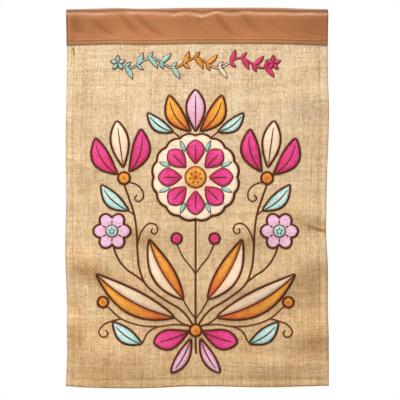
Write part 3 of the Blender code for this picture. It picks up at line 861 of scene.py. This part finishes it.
def whole_blade(vein, outer, inner):
    """A whole leaf's outline, the places on its vein that its threads run to, and how far along each lies."""
    share = np.linspace(0, 1, len(vein))
    spine = read_along(np.clip(share, *WHOLE_SPINE), share, vein)
    pairs = ((outer, inner), (spine, spine), (share, share))
    return [np.concatenate([line, other[-2:0:-1]]) for line, other in pairs]


def half_blade(vein, edge):
    """Half a leaf between its vein and one edge, given as a whole one is."""
    away = edge - vein
    width = np.linalg.norm(away, axis=1)
    wide = width > 2 * PATCH_SEAM
    near = (vein + away * (PATCH_SEAM / np.maximum(width, PATCH_SEAM))[:, None])[wide]
    edge, share = edge[wide], np.linspace(0, 1, wide.sum())
    spine = read_along(np.clip(share, *HALF_SPINE), share, (near + edge) / 2)
    pairs = ((edge, near), (spine, spine), (share, share))
    return [np.concatenate([line, other[::-1]]) for line, other in pairs]


def round_shape(x, drop, radius, petals=0, height=0.0):
    """A round outline, or one with petals or scallops, and the middle that its threads run to."""
    count = POINTS_PER_PETAL * petals if petals else ROUND_POINTS
    turn = np.linspace(0, 2 * math.pi, count, endpoint=False)
    reach = radius + height * np.abs(np.sin(petals * turn / 2)) ** PETAL_ROUNDNESS
    outline = np.stack([x + reach * np.sin(turn), drop - reach * np.cos(turn)], axis=-1)
    return outline, np.tile([x, drop], (count, 1)), None


def spokes(x, drop, radii, count, start=0.0):
    """Places at these distances from a middle, in even directions round it."""
    turns = start + 2 * math.pi * np.arange(count) / count
    return [[(x + r * math.sin(t), drop - r * math.cos(t)) for r in radii] for t in turns]


def mirrored(points, side):
    """Places on the flowers' right side, side 1, or their mirror image on the left, side -1."""
    return np.array(points) * (side, 1) + (MOTIF_X, 0)


def patch_back(level):
    """How far in front of the cloth's own middle a patch's back lies."""
    return BURLAP_FACE + GAP + level * (PATCH_THICK + GAP)


def sew_on(name, cloth, shape, level=0, crown=PATCH_CROWN):
    """One patch: a closed sheet within its outline, thin at its rim and a little proud in the middle."""
    outline, spine, along = shape
    shares = np.array(INSET_SHARES)[:, None]
    flat = outline * (1 - shares[..., None]) + spine * shares[..., None]
    inset = np.linalg.norm(flat - outline, axis=-1)
    thick = PATCH_RIM + (PATCH_THICK - PATCH_RIM) * (1 - np.exp(-inset / RIM_RISE))
    thick = thick + crown * (1 - np.exp(-inset / CROWN_RISE))
    x, drop = flat[..., 0], flat[..., 1]
    out = hang(x, drop) + patch_back(level) + thick * np.array([1, 0])[:, None, None]
    marks = {"inset": inset, "along": 1 - shares if along is None else along}
    mesh = cloth_mesh(name, CLOTHS[cloth], in_space(x, out, drop), flat, marks, ring=True)
    piece = add_piece(name, mesh)
    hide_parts(name.removesuffix("_cloth"))
    centred = outline - outline.mean(axis=0)
    _, _, directions = np.linalg.svd(centred, full_matrices=False)
    length, width = np.ptp(centred @ directions.T, axis=0)
    rolled = np.roll(outline, -1, axis=0)
    area = abs(np.sum(outline[:, 0] * rolled[:, 1] - outline[:, 1] * rolled[:, 0])) / 2
    flat = (float(width), float(length))
    return piece


medallion_shape = round_shape(*ROSE_MIDDLE, *MEDALLION)
medallion = sew_on("medallion_cloth", "cream", medallion_shape, crown=0.0)
petal_ends = spokes(*ROSE_MIDDLE, ROSE_PETAL_RADII, ROSE_PETALS)
rose_petals = [blade(*ends, *ROSE_PETAL_BUILD) for ends in petal_ends]
petal_shapes = [whole_blade(*sides) for sides in rose_petals]
for k, petal_shape in enumerate(petal_shapes, start=1):
    sew_on(f"rose_petal_{k}_cloth", "magenta", petal_shape, level=1)
heart_shape = round_shape(*ROSE_MIDDLE, ROSE_HEART_RADIUS)
sew_on("rose_heart_cloth", "orange", heart_shape, level=1)

# The rest of the bouquet: the bud and petals above the round flower, two tulips, two daisies, leaves, berries
# and the bow that ties it. All are cut, printed and laid as the round flower's patches are.
# Columns: name, cloth, foot x, foot drop, tip x, tip drop, bow outwards, half width, skew, fullness, sides
PAIRED = (
    ("crown_petal", "orange", 0.0060, 0.149, 0.0320, 0.106, 0.0065, 0.0100, 1.1, 0.8, "both"),
    ("crown_leaf", "aqua", 0.0270, 0.150, 0.0580, 0.127, 0.0045, 0.0070, 1.0, 0.9, "both"),
    ("tulip_inner", "magenta", 0.0800, 0.198, 0.0660, 0.147, -0.0070, 0.0105, 1.1, 0.8, "both"),
    ("tulip_middle", "cream", 0.0875, 0.193, 0.0950, 0.137, 0.0000, 0.0105, 1.2, 0.8, "both"),
    ("tulip_outer", "magenta", 0.0945, 0.201, 0.1210, 0.158, 0.0070, 0.0105, 1.1, 0.8, "both"),
    ("tulip_leaf", "aqua", 0.0810, 0.245, 0.1140, 0.214, 0.0045, 0.0085, 1.0, 0.9, "both"),
    ("upper_leaf_low", "cream", 0.0150, 0.352, 0.0560, 0.280, 0.0060, 0.0130, 0.9, 0.9, "outer"),
    ("upper_leaf_top", "orange", 0.0150, 0.352, 0.0560, 0.280, 0.0060, 0.0125, 0.9, 0.9, "inner"),
    ("side_leaf_low", "orange", 0.0260, 0.374, 0.1200, 0.322, 0.0080, 0.0145, 0.9, 0.9, "outer"),
    ("side_leaf_top", "cream", 0.0260, 0.374, 0.1200, 0.322, 0.0080, 0.0135, 0.9, 0.9, "inner"),
    ("bow_loop", "magenta", 0.0080, 0.391, 0.0500, 0.405, 0.0020, 0.0115, 1.5, 0.7, "both"),
    ("bow_tail", "pink", 0.0060, 0.400, 0.0290, 0.441, 0.0030, 0.0070, 1.2, 0.7, "both"),
    ("low_leaf", "aqua", 0.0650, 0.406, 0.1000, 0.380, 0.0040, 0.0085, 1.0, 0.9, "both"),
)
DAISY_MIDDLE = (0.1010, 0.2700)
DAISY_PETALS = 6
# Columns: name, cloth, x, drop, radius, petals, petal height
ROUNDS = (
    ("tulip_cup", "orange", 0.0865, 0.2060, 0.0070, 0, 0.0),
    ("daisy", "pink", *DAISY_MIDDLE, 0.0150, DAISY_PETALS, 0.0075),
    ("inner_berry", "magenta", 0.0230, 0.2790, 0.0062, 0, 0.0),
    ("outer_berry", "orange", 0.1120, 0.3560, 0.0062, 0, 0.0),
)
CROWN_BUD = ((MOTIF_X, 0.1490), (MOTIF_X, 0.0990), 0.0, 0.0110, 1.2, 0.8)
DAISY_HEART_RADIUS = 0.0070
BOW_KNOT = (MOTIF_X, 0.3900, 0.0070)
SIDES = ((-1, "left"), (1, "right"))

bud_sides = blade(*CROWN_BUD)
bud_shape, knot_shape = whole_blade(*bud_sides), round_shape(*BOW_KNOT)
sew_on("crown_bud_cloth", "pink", bud_shape)
sew_on("bow_knot_cloth", "orange", knot_shape)
whole_edges = [medallion_shape[0], bud_shape[0], knot_shape[0]]
fine_edges = [shape[0] for shape in (*petal_shapes, heart_shape)]
vein_lines = []
leaf_strokes = [bud_sides[0]]
for side, word in SIDES:
    for name, cloth, foot_x, foot_drop, tip_x, tip_drop, *build, covers in PAIRED:
        lines = blade((foot_x, foot_drop), (tip_x, tip_drop), *build)
        vein, outer, inner = (mirrored(line, side) for line in lines)
        whole = whole_blade(vein, outer, inner)
        if covers != "inner":
            whole_edges.append(whole[0])
        if covers == "both":
            leaf_strokes.append(vein)
        elif covers == "outer":
            vein_lines.append(vein)
        halves = {"outer": outer, "inner": inner}
        shape = half_blade(vein, halves[covers]) if covers in halves else whole
        sew_on(f"{name}_{word}_cloth", cloth, shape)
    for name, cloth, x, drop, radius, petals, height in ROUNDS:
        middle = mirrored((x, drop), side).tolist()
        shape = round_shape(*middle, radius, petals, height)
        blossom = sew_on(f"{name}_{word}_cloth", cloth, shape, crown=0.0 if petals else PATCH_CROWN)
        whole_edges.append(shape[0])
        if petals:
            shape = round_shape(*middle, DAISY_HEART_RADIUS)
            sew_on(f"{name}_heart_{word}_cloth", "aqua", shape, level=1)
            fine_edges.append(shape[0])

# The outlines: brown rayon thread in satin stitch, each stitch laid right across the patch's edge, side by
# side. They hold the patches to the burlap, and finer ones hold the upper patches and mark the leaves' veins.
THREAD_SPACING = 0.00042
THREAD_HALF = 0.00024
WIDE_HALF = 0.00185
FINE_HALF = 0.00125
VEIN_HALF = 0.00110
WIDE_LOFT = 0.0016
FINE_LOFT = 0.0013
LINE_STEP = 0.0008
SLOPE_STEP = 0.0005
SOFTENING_PASSES = 3
SUNK = 0.0001
VEIN_LIFT = 0.0006
ARCH_SLOPE = 0.45
THREAD_SIDES = ((0, 1), (1, 2), (2, 0))
PATCH_FACE = patch_back(0) + PATCH_THICK


def cloth_out(x, drop):
    """The direction straight out of the hanging cloth's face."""
    step = SLOPE_STEP
    slope_x = (hang(x + step, drop) - hang(x - step, drop)) / (2 * step)
    slope_drop = (hang(x, drop + step) - hang(x, drop - step)) / (2 * step)
    out = np.stack([-slope_x, np.full_like(slope_x, -1.0), slope_drop], axis=-1)
    return out / np.linalg.norm(out, axis=-1, keepdims=True)


def sewn_line(path, half_width, lift, closed=False, face=1):
    """One line of stitches: evenly spaced points and their half widths, on the face or, face -1, the back."""
    path = np.array(path, dtype=float)
    loop = np.concatenate([path, path[:1]]) if closed else path
    run = run_along(loop)
    even = np.linspace(0, run[-1], max(4, round(run[-1] / LINE_STEP)), endpoint=not closed)
    places = read_along(even, run, loop)
    for _ in range(SOFTENING_PASSES):
        softer = (np.roll(places, 1, axis=0) + 2 * places + np.roll(places, -1, axis=0)) / 4
        if not closed:
            softer[[0, -1]] = places[[0, -1]]
        places = softer
    x, drop = places.T
    half_width = np.atleast_1d(half_width)
    widths = np.interp(even, np.linspace(0, run[-1], len(half_width)), half_width)
    return in_space(x, hang(x, drop) + face * lift, drop), face * cloth_out(x, drop), widths, closed


def stitch_shape(name, stations, lengthwise=None):
    """One stitch: an arched three-sided thread, from -1 to 1 across the line, or this long along it."""
    points, faces, last = [], [(0, 1, 2)], 3 * (stations - 1)
    for p in np.linspace(-1, 1, stations):
        top = math.sqrt(max(0.0, 1 - p * p))
        for side in (-1, 0, 1):
            along = (side, p * lengthwise, top - abs(side)) if lengthwise else None
            points.append(along or (p, side * THREAD_HALF, top - ARCH_SLOPE * abs(side)))
    for first in range(0, last, 3):
        faces += [(first + a, first + b, first + b + 3, first + a + 3) for a, b in THREAD_SIDES]
    mesh = bpy.data.meshes.new(name)
    mesh.from_pydata(points, [], [*faces, (last + 2, last + 1, last)])
    return stand(name, closed_up(mesh))


def stitch_tree():
    """Stitches side by side along drawn lines, each a little longer, higher or more slanted than the next."""
    inputs = {
        "Geometry": "Geometry", "Stitch": "Object", "Thread": "Material", "Spacing": 0.0004, "Loft": 0.001,
        "Unevenness": 0.1, "Slant": 0.05, "Seed": "Int",
    }
    tree, given, put = new_tree("stitches_along_lines", "GeometryNodeTree", inputs, {"Geometry": "Geometry"})

    def on_line(label, kind):
        """One of the drawn lines' own marks."""
        return add_node(tree, "GeometryNodeInputNamedAttribute", {"Name": label}, data_type=kind)

    def chance(low, high, offset):
        """A number of each stitch's own between two others."""
        limits = {2: low, 3: high, "Seed": given["Seed"] + offset}
        return add_node(tree, "FunctionNodeRandomValue", limits, 1, data_type="FLOAT")

    def vector(**parts):
        """A vector put together from numbers."""
        return add_node(tree, "ShaderNodeCombineXYZ", parts)

    lines = add_node(tree, "GeometryNodeMeshToCurve", {"Mesh": given["Geometry"]})
    spaced = {"Curve": lines, "Length": given["Spacing"]}
    rows = add_node(tree, "GeometryNodeCurveToPoints", spaced, mode="LENGTH")
    low, high = 1.0 - given["Unevenness"], given["Unevenness"] + 1.0
    width = on_line("half_width", "FLOAT") * chance(low, high, 1.0)
    loft = given["Loft"] * chance(low, high, 2.0)
    slant = vector(Z=chance(given["Slant"] * -1.0, given["Slant"], 3.0))
    face_out = {"Vector": on_line("face_out", "FLOAT_VECTOR")}
    turned = {"Rotation": add_node(tree, "FunctionNodeAlignRotationToVector", face_out, axis="Z")}
    turned["Vector"] = rows["Tangent"]
    turned = add_node(tree, "FunctionNodeAlignRotationToVector", turned, axis="Y", pivot_axis="Z")
    slant = add_node(tree, "FunctionNodeEulerToRotation", {"Euler": slant})
    slanted = {"Rotation": turned, "Rotate By": slant}
    laid = {
        "Points": rows,
        "Instance": add_node(tree, "GeometryNodeObjectInfo", {"Object": given["Stitch"]}, "Geometry"),
        "Rotation": add_node(tree, "FunctionNodeRotateRotation", slanted, rotation_space="LOCAL"),
        "Scale": vector(X=width, Y=1.0, Z=loft),
    }
    laid = add_node(tree, "GeometryNodeInstanceOnPoints", laid)
    real = add_node(tree, "GeometryNodeRealizeInstances", {"Geometry": laid})
    dyed = {"Geometry": real, "Material": given["Thread"]}
    feed(put["Geometry"], add_node(tree, "GeometryNodeSetMaterial", dyed))
    return tree


STITCH_TREE = stitch_tree()
LONG_STITCH = stitch_shape("long_stitch", 6)
SHORT_STITCH = stitch_shape("short_stitch", 4)


def stitched(
    name, lines, thread, stitch, loft, seed,
    uneven=0.06, spacing=THREAD_SPACING, slant=0.05, slot_name="thread",
):
    """Lines of stitches as one plain mesh, made by the stitch tree."""
    points, outs, widths = (np.concatenate([line[k] for line in lines]) for k in range(3))
    edges, first = [], 0
    for line_points, *_, closed in lines:
        count = len(line_points)
        edges += [(first + k, first + (k + 1) % count) for k in range(count if closed else count - 1)]
        first += count
    drawn = bpy.data.meshes.new(f"{name}_lines")
    drawn.from_pydata(points.tolist(), edges, [])
    drawn.attributes.new("half_width", "FLOAT", "POINT").data.foreach_set("value", widths.astype(np.float32))
    outs = outs.astype(np.float32).ravel()
    drawn.attributes.new("face_out", "FLOAT_VECTOR", "POINT").data.foreach_set("vector", outs)
    guide = stand(f"{name}_lines", drawn)
    sewing = guide.modifiers.new("stitches", "NODES")
    sewing.node_group = STITCH_TREE
    values = {"Stitch": stitch, "Thread": thread, "Spacing": spacing, "Loft": loft}
    values |= {"Unevenness": uneven, "Slant": slant, "Seed": seed}
    for item in STITCH_TREE.interface.items_tree:
        if item.in_out == "INPUT" and item.name in values:
            sewing[item.identifier] = values[item.name]
    bpy.context.view_layer.update()
    mesh = bpy.data.meshes.new_from_object(guide.evaluated_get(bpy.context.evaluated_depsgraph_get()))
    guide.modifiers.remove(sewing)
    bpy.data.objects.remove(guide)
    mesh.name = name
    add_piece(name, mesh)


def thread_dye(name, deep, bright, roughness=0.5):
    """Rayon embroidery thread: a soft gloss, and a dye that varies slightly from stitch to stitch."""
    material, shader = plain_shader(name, Roughness=roughness, Specular_IOR_Level=0.25)
    place = add_node(material.node_tree, "ShaderNodeTexCoord", out="Object")
    share = place.noise(1400.0, 1.0) * 0.5 + (place.noise(55.0, 3.0, 0.6) * 1.3 - 0.4)
    feed(shader.inputs["Base Color"], mixed(share, deep, bright))
    return material


BROWN_THREAD = thread_dye("brown_thread", (74, 30, 9), (138, 76, 40))

wide_lines = [sewn_line(edge, WIDE_HALF, BURLAP_FACE, closed=True) for edge in whole_edges]
middle = len(wide_lines) // 2
stitched("outlines_1", wide_lines[:middle], BROWN_THREAD, LONG_STITCH, WIDE_LOFT, 11, uneven=0.14)
stitched("outlines_2", wide_lines[middle:], BROWN_THREAD, LONG_STITCH, WIDE_LOFT, 12, uneven=0.14)
fine_lines = [sewn_line(edge, FINE_HALF, PATCH_FACE - SUNK, closed=True) for edge in fine_edges]
fine_lines += [sewn_line(vein, VEIN_HALF, BURLAP_FACE + VEIN_LIFT) for vein in vein_lines]
stitched("fine_outlines", fine_lines, BROWN_THREAD, SHORT_STITCH, FINE_LOFT, 13, uneven=0.12)

# The stems: brown satin stitch on the bare burlap, narrower than the outlines, from the knot up to each
# flower, with curled tendrils and twigs.
STEM_HALF = 0.00155
TWIG_HALF = 0.00115
STEM_LOFT = 0.0011
# Each row: a line's half width, then its points
MIDDLE_STEMS = (
    (STEM_HALF, (0.0, 0.2570), (0.0, 0.3000), (0.0, 0.3400), (0.0, 0.3835)),
    (STEM_HALF, (0.0, 0.3970), (0.0, 0.4080), (0.0005, 0.4180)),
)
# On the right, mirrored on the left
SIDE_STEMS = (
    (
        STEM_HALF, (0.0030, 0.3840), (0.0115, 0.3715), (0.0205, 0.3630), (0.0300, 0.3575), (0.0467, 0.3462),
        (0.0600, 0.3345), (0.0672, 0.3180), (0.0702, 0.2950), (0.0712, 0.2700), (0.0742, 0.2500),
        (0.0800, 0.2320), (0.0860, 0.2146),
    ),
    (
        STEM_HALF, (0.0620, 0.3315), (0.0720, 0.3240), (0.0830, 0.3165), (0.0910, 0.3075), (0.0962, 0.2980),
        (0.0998, 0.2874),
    ),
    (TWIG_HALF, (0.0742, 0.2510), (0.0775, 0.2480), (0.0812, 0.2452)),
    (TWIG_HALF, (0.0, 0.3220), (0.0060, 0.3130), (0.0150, 0.3020), (0.0220, 0.2870)),
    (TWIG_HALF, (0.0, 0.3760), (0.0070, 0.3670), (0.0150, 0.3530)),
    (TWIG_HALF, (0.0050, 0.3850), (0.0150, 0.3820), (0.0260, 0.3745)),
    (
        TWIG_HALF, (0.0080, 0.3845), (0.0250, 0.3830), (0.0450, 0.3855), (0.0700, 0.3835), (0.0900, 0.3760),
        (0.1060, 0.3620),
    ),
    (TWIG_HALF, (0.0450, 0.3855), (0.0560, 0.3910), (0.0640, 0.4050)),
    (TWIG_HALF, (0.0200, 0.1560), (0.0235, 0.1530), (0.0272, 0.1500)),
    (
        TWIG_HALF, (0.0706, 0.2870), (0.0650, 0.2700), (0.0560, 0.2610), (0.0480, 0.2625), (0.0455, 0.2685),
        (0.0495, 0.2735), (0.0540, 0.2705), (0.0520, 0.2670),
    ),
    (
        TWIG_HALF, (0.0805, 0.2110), (0.0710, 0.2140), (0.0640, 0.2220), (0.0640, 0.2310), (0.0700, 0.2345),
        (0.0740, 0.2300), (0.0705, 0.2265),
    ),
    (
        TWIG_HALF, (0.0900, 0.3760), (0.1010, 0.3790), (0.1120, 0.3840), (0.1170, 0.3930), (0.1110, 0.3985),
        (0.1055, 0.3940), (0.1085, 0.3900),
    ),
)

stem_lines = []
for side, stems, count in ((1, MIDDLE_STEMS, 60), (-1, SIDE_STEMS, 120), (1, SIDE_STEMS, 120)):
    for half_width, *points in stems:
        path = smooth_path(mirrored(points, side), count)
        stem_lines.append(sewn_line(path, half_width, BURLAP_FACE - SUNK))
stitched("stems", stem_lines, BROWN_THREAD, SHORT_STITCH, STEM_LOFT, 21, uneven=0.12)

# Small strokes and knots in the same brown thread: a stroke up each petal and leaf, strokes between the
# daisies' petals, and knots on the hearts.
STROKE_LOFT = 0.0009
STROKE_WIDTHS = (0.00050, 0.00095, 0.00095, 0.00050)
STROKE_LIFT = 0.0002
ROSE_STROKE = (0.22, 0.68)
LEAF_STROKE = (0.16, 0.74)
KNOT_STITCHES = 6
KNOT_RADIUS = 0.00035
KNOT_HALF = 0.00100
KNOT_LOFT = 0.0013
ROSE_KNOTS = 7
ROSE_KNOT_RING = 0.0068
ROSE_KNOT_LIFT = 0.0003
MIDDLE_KNOT_LIFT = 0.0004
DAISY_KNOTS = 5
DAISY_KNOT_RING = 0.0030
DAISY_KNOT_LIFT = 0.0002
DAISY_STROKE_RADII = (0.0090, 0.0128)
DAISY_STROKE_LIFT = 0.0001
UPPER_FACE = patch_back(1) + PATCH_THICK


def stroke(line, start, end, lift):
    """A stroke up a stretch of a line, from one share of its length to another."""
    count = len(line)
    return sewn_line(line[round(start * count) : round(end * count)], STROKE_WIDTHS, lift)


def knot(x, drop, lift):
    """A French knot: a few stitches wound round one spot."""
    turns = np.linspace(0, 2 * math.pi, KNOT_STITCHES, endpoint=False)
    x, drop = x + KNOT_RADIUS * np.cos(turns), drop + KNOT_RADIUS * np.sin(turns)
    widths = np.full(KNOT_STITCHES, KNOT_HALF)
    return in_space(x, hang(x, drop) + lift, drop), cloth_out(x, drop), widths, True


strokes = [stroke(sides[0], *ROSE_STROKE, UPPER_FACE + STROKE_LIFT) for sides in rose_petals]
strokes += [stroke(vein, *LEAF_STROKE, PATCH_FACE + STROKE_LIFT) for vein in leaf_strokes]
ring = spokes(*ROSE_MIDDLE, (ROSE_KNOT_RING,), ROSE_KNOTS)
knots = [knot(*place, UPPER_FACE + ROSE_KNOT_LIFT) for (place,) in ring]
knots.append(knot(*ROSE_MIDDLE, UPPER_FACE + MIDDLE_KNOT_LIFT))
for side, _ in SIDES:
    middle = mirrored(DAISY_MIDDLE, side)
    ends = spokes(*middle, DAISY_STROKE_RADII, DAISY_PETALS)
    strokes += [sewn_line(pair, STROKE_WIDTHS, PATCH_FACE + DAISY_STROKE_LIFT) for pair in ends]
    ring = spokes(*middle, (DAISY_KNOT_RING,), DAISY_KNOTS)
    knots += [knot(*place, UPPER_FACE + DAISY_KNOT_LIFT) for (place,) in ring]
stitched("strokes", strokes, BROWN_THREAD, SHORT_STITCH, STROKE_LOFT, 31)
stitched("knots", knots, BROWN_THREAD, SHORT_STITCH, KNOT_LOFT, 32)

# Small motifs filled with coloured satin stitch inside a thin brown line: drops between the round flower's
# petals, and the running vine that stands above the bouquet, its colour changing along its length.
FILL_LOFT = 0.0009
FILL_LIFT = 0.0003
UNDER_LOFT = 0.0008
UNDER_EXTRA = 0.00110
DROP_RADII = (0.0345, 0.0462)
DROP_HALF = 0.0026
LEAF_SAMPLES = 24
VINE_START = -0.0960
VINE_END = 0.0920
VINE_DROP = 0.0670
VINE_WAVE = 0.0060
VINE_WAVES = 3.5
VINE_HALF = 0.00095
VINE_LIFT = 0.0002
VINE_SAMPLES = 60
VINE_LEAVES = 13
VINE_FIRST_LEAF = 0.7
VINE_LEAF_ROOM = 0.4
VINE_LEAF_LEAN = 0.4
VINE_LEAF_LENGTH = 0.0150
VINE_LEAF_HALF = 0.0030
VINE_LEAF_BOW = 0.0010
VINE_LEAF_TURN = math.radians(54)
VINE_BUD_SHARE = 0.55
BLOSSOM_PETALS = 5
BLOSSOM_RADII = (0.0016, 0.0086)
BLOSSOM_HALF = 0.0023
# Columns: thread, deep colour, bright colour, where its stretch of the vine ends
VINE_THREADS = (
    ("aqua", (138, 198, 190), (196, 234, 226), -0.030),
    ("orange", (222, 140, 36), (248, 188, 82), 0.015),
    ("cream", (232, 208, 180), (255, 244, 228), 0.040),
    ("magenta", (214, 36, 104), (242, 84, 150), VINE_END),
)

vine_lines = {name: [] for name, *_ in VINE_THREADS}
under_lines = []


def satin_leaf(foot, tip, half_width, lift, extra=0.0, bow=0.0):
    """One small leaf filled with satin stitch: its vein, and how far the stitches reach each side of it."""
    foot, tip = np.array(foot), np.array(tip)
    past = extra * (tip - foot) / np.hypot(*(tip - foot))
    t = np.linspace(0, 1, LEAF_SAMPLES)
    vein, _ = bowed_line(foot - past, tip + past, bow, t)
    widths = extra * 0.6 + (half_width + extra * 0.4) * np.sin(math.pi * np.clip(t, 0.02, 0.98) ** 0.9) ** 0.8
    return sewn_line(vein, widths, lift)


def fill_leaf(foot, tip, half_width, thread_name, lift=BURLAP_FACE, bow=0.0):
    """One filled leaf on its brown under layer."""
    under_lines.append(satin_leaf(foot, tip, half_width, lift, UNDER_EXTRA, bow))
    vine_lines[thread_name].append(satin_leaf(foot, tip, half_width, lift + FILL_LIFT, bow=bow))


def vine_place(x):
    """The vine's own drop and direction at each x."""
    waves = 2 * math.pi * VINE_WAVES / (VINE_END - VINE_START)
    turn = waves * (x - VINE_START)
    return VINE_DROP + VINE_WAVE * np.sin(turn), np.arctan(VINE_WAVE * np.cos(turn) * waves)


def vine_thread(x):
    """The thread whose stretch of the vine this x lies in."""
    return next(name for name, _, _, end in VINE_THREADS if x <= end)


stretch_start = VINE_START
for name, _, _, stretch_end in VINE_THREADS:
    x = np.linspace(stretch_start, stretch_end, VINE_SAMPLES)
    stretch = np.stack([x, vine_place(x)[0]], axis=-1)
    under_lines.append(sewn_line(stretch, VINE_HALF + UNDER_EXTRA, BURLAP_FACE))
    vine_lines[name].append(sewn_line(stretch, VINE_HALF, BURLAP_FACE + VINE_LIFT))
    stretch_start = stretch_end
leaf_step = (VINE_END - VINE_START) / (VINE_LEAVES + VINE_LEAF_ROOM)
for k in range(VINE_LEAVES):
    x = VINE_START + (k + VINE_FIRST_LEAF) * leaf_step
    drop, slope = (float(value) for value in vine_place(x))
    side = -1 if k % 2 else 1
    for turn, share in ((side * VINE_LEAF_TURN, 1.0), (-side * VINE_LEAF_TURN, VINE_BUD_SHARE)):
        turn, length = turn + VINE_LEAF_LEAN * slope, share * VINE_LEAF_LENGTH
        tip = (x + length * math.cos(turn), drop + length * math.sin(turn))
        half_width, bow = share**0.6 * VINE_LEAF_HALF, -side * VINE_LEAF_BOW * share
        fill_leaf((x, drop), tip, half_width, vine_thread(x), bow=bow)
for x in (VINE_START, VINE_END):
    for foot, tip in spokes(x, float(vine_place(x)[0]), BLOSSOM_RADII, BLOSSOM_PETALS):
        fill_leaf(foot, tip, BLOSSOM_HALF, vine_thread(x), lift=BURLAP_FACE + VINE_LIFT)
for foot, tip in spokes(*ROSE_MIDDLE, DROP_RADII, ROSE_PETALS, math.pi / ROSE_PETALS):
    fill_leaf(foot, tip, DROP_HALF, "aqua", lift=PATCH_FACE - SUNK)
stitched("vine_edge", under_lines, BROWN_THREAD, SHORT_STITCH, UNDER_LOFT, 41)
for seed, (name, deep, bright, _) in enumerate(VINE_THREADS, start=42):
    thread = thread_dye(f"{name}_thread", deep, bright)
    stitched(f"vine_{name}", vine_lines[name], thread, SHORT_STITCH, FILL_LOFT, seed, slot_name=name)

# Plain sewing: a running stitch in tan thread holds the side and bottom hems, and one in light brown the
# sleeve's seam and its end hems. They show on both faces. A short bar tack stands where the left hem meets
# the sleeve.
HEM_STITCH_TOP = 0.0455
HEM_STITCH_SPACING = 0.0026
HEM_STITCH_HALF_LENGTH = 0.0008
HEM_THREAD_HALF = 0.00046
HEM_LOFT = 0.00045
SEAM_LOFT = 0.00070
SEAM_STITCH_DROP = 0.0375
SEAM_SPACING = 0.0025
SEAM_THREAD_HALF = 0.00064
SEAM_LIFT = 0.00005
END_STITCH_IN = 0.0040
END_STITCH_DROPS = (0.0070, 0.0420)
TACK_ENDS = ((-0.1504, 0.0484), (-0.1488, 0.0572))
TACK_HALF = 0.00105
TACK_LOFT = 0.0006
HEM_STITCH = stitch_shape("hem_stitch", 6, lengthwise=HEM_STITCH_HALF_LENGTH)
TAN_THREAD = thread_dye("tan_thread", (120, 78, 44), (158, 108, 68), 0.6)
TACK_THREAD = thread_dye("tack_thread", (150, 92, 46), (188, 130, 78))
LIGHT_BROWN_THREAD = thread_dye("light_brown_thread", (202, 144, 100), (238, 188, 144), 0.45)

hem_lines = []
right, bottom = FLAG_WIDTH - RIGHT_STITCH_IN, FLAG_HEIGHT - BOTTOM_STITCH_UP
down, along = np.linspace(HEM_STITCH_TOP, bottom, 120), np.linspace(LEFT_STITCH_IN, right, 100)
for face, lift in ((1, BURLAP_FACE), (-1, BURLAP_FACE + HEM_EXTRA)):
    for across, drop in ((LEFT_STITCH_IN, down), (right, down), (along, bottom)):
        path = np.stack(grid_place(*np.broadcast_arrays(across, drop)), axis=-1)
        hem_lines.append(sewn_line(path, HEM_THREAD_HALF, lift - SUNK, face=face))
running = {"uneven": 0.15, "spacing": HEM_STITCH_SPACING, "slant": 0.10}
stitched("hem_stitches", hem_lines, TAN_THREAD, HEM_STITCH, HEM_LOFT, 51, **running)
tack = [sewn_line(TACK_ENDS, TACK_HALF, BURLAP_FACE)]
stitched("bar_tack", tack, TACK_THREAD, SHORT_STITCH, TACK_LOFT, 52)


def sleeve_line(x, drop, face):
    """A line of stitches on the sleeve's front, face 1, or its back, face -1."""
    x, drop = np.broadcast_arrays(x, drop)
    depth = eased(SLEEVE_OUTER, drop)
    out = depth - sleeve_crease(x, drop) if face > 0 else -depth
    points = in_space(x, out + face * SEAM_LIFT, eased(LONG_EDGES, x) + drop)
    return points, np.tile([0.0, -face, 0.0], (len(x), 1)), np.full(len(x), SEAM_THREAD_HALF), False


seam_lines = []
sleeve_half = FLAG_WIDTH / 2 - END_STITCH_IN
for face in (1, -1):
    seam_lines.append(sleeve_line(np.linspace(-sleeve_half, sleeve_half, 200), SEAM_STITCH_DROP, face))
    for end in (-sleeve_half, sleeve_half):
        seam_lines.append(sleeve_line(end, np.linspace(*END_STITCH_DROPS, 30), face))
running = {"uneven": 0.12, "spacing": SEAM_SPACING}
stitched("sleeve_stitches", seam_lines, LIGHT_BROWN_THREAD, HEM_STITCH, SEAM_LOFT, 53, **running)

for shape in (LONG_STITCH, SHORT_STITCH, HEM_STITCH):
    bpy.data.objects.remove(shape)
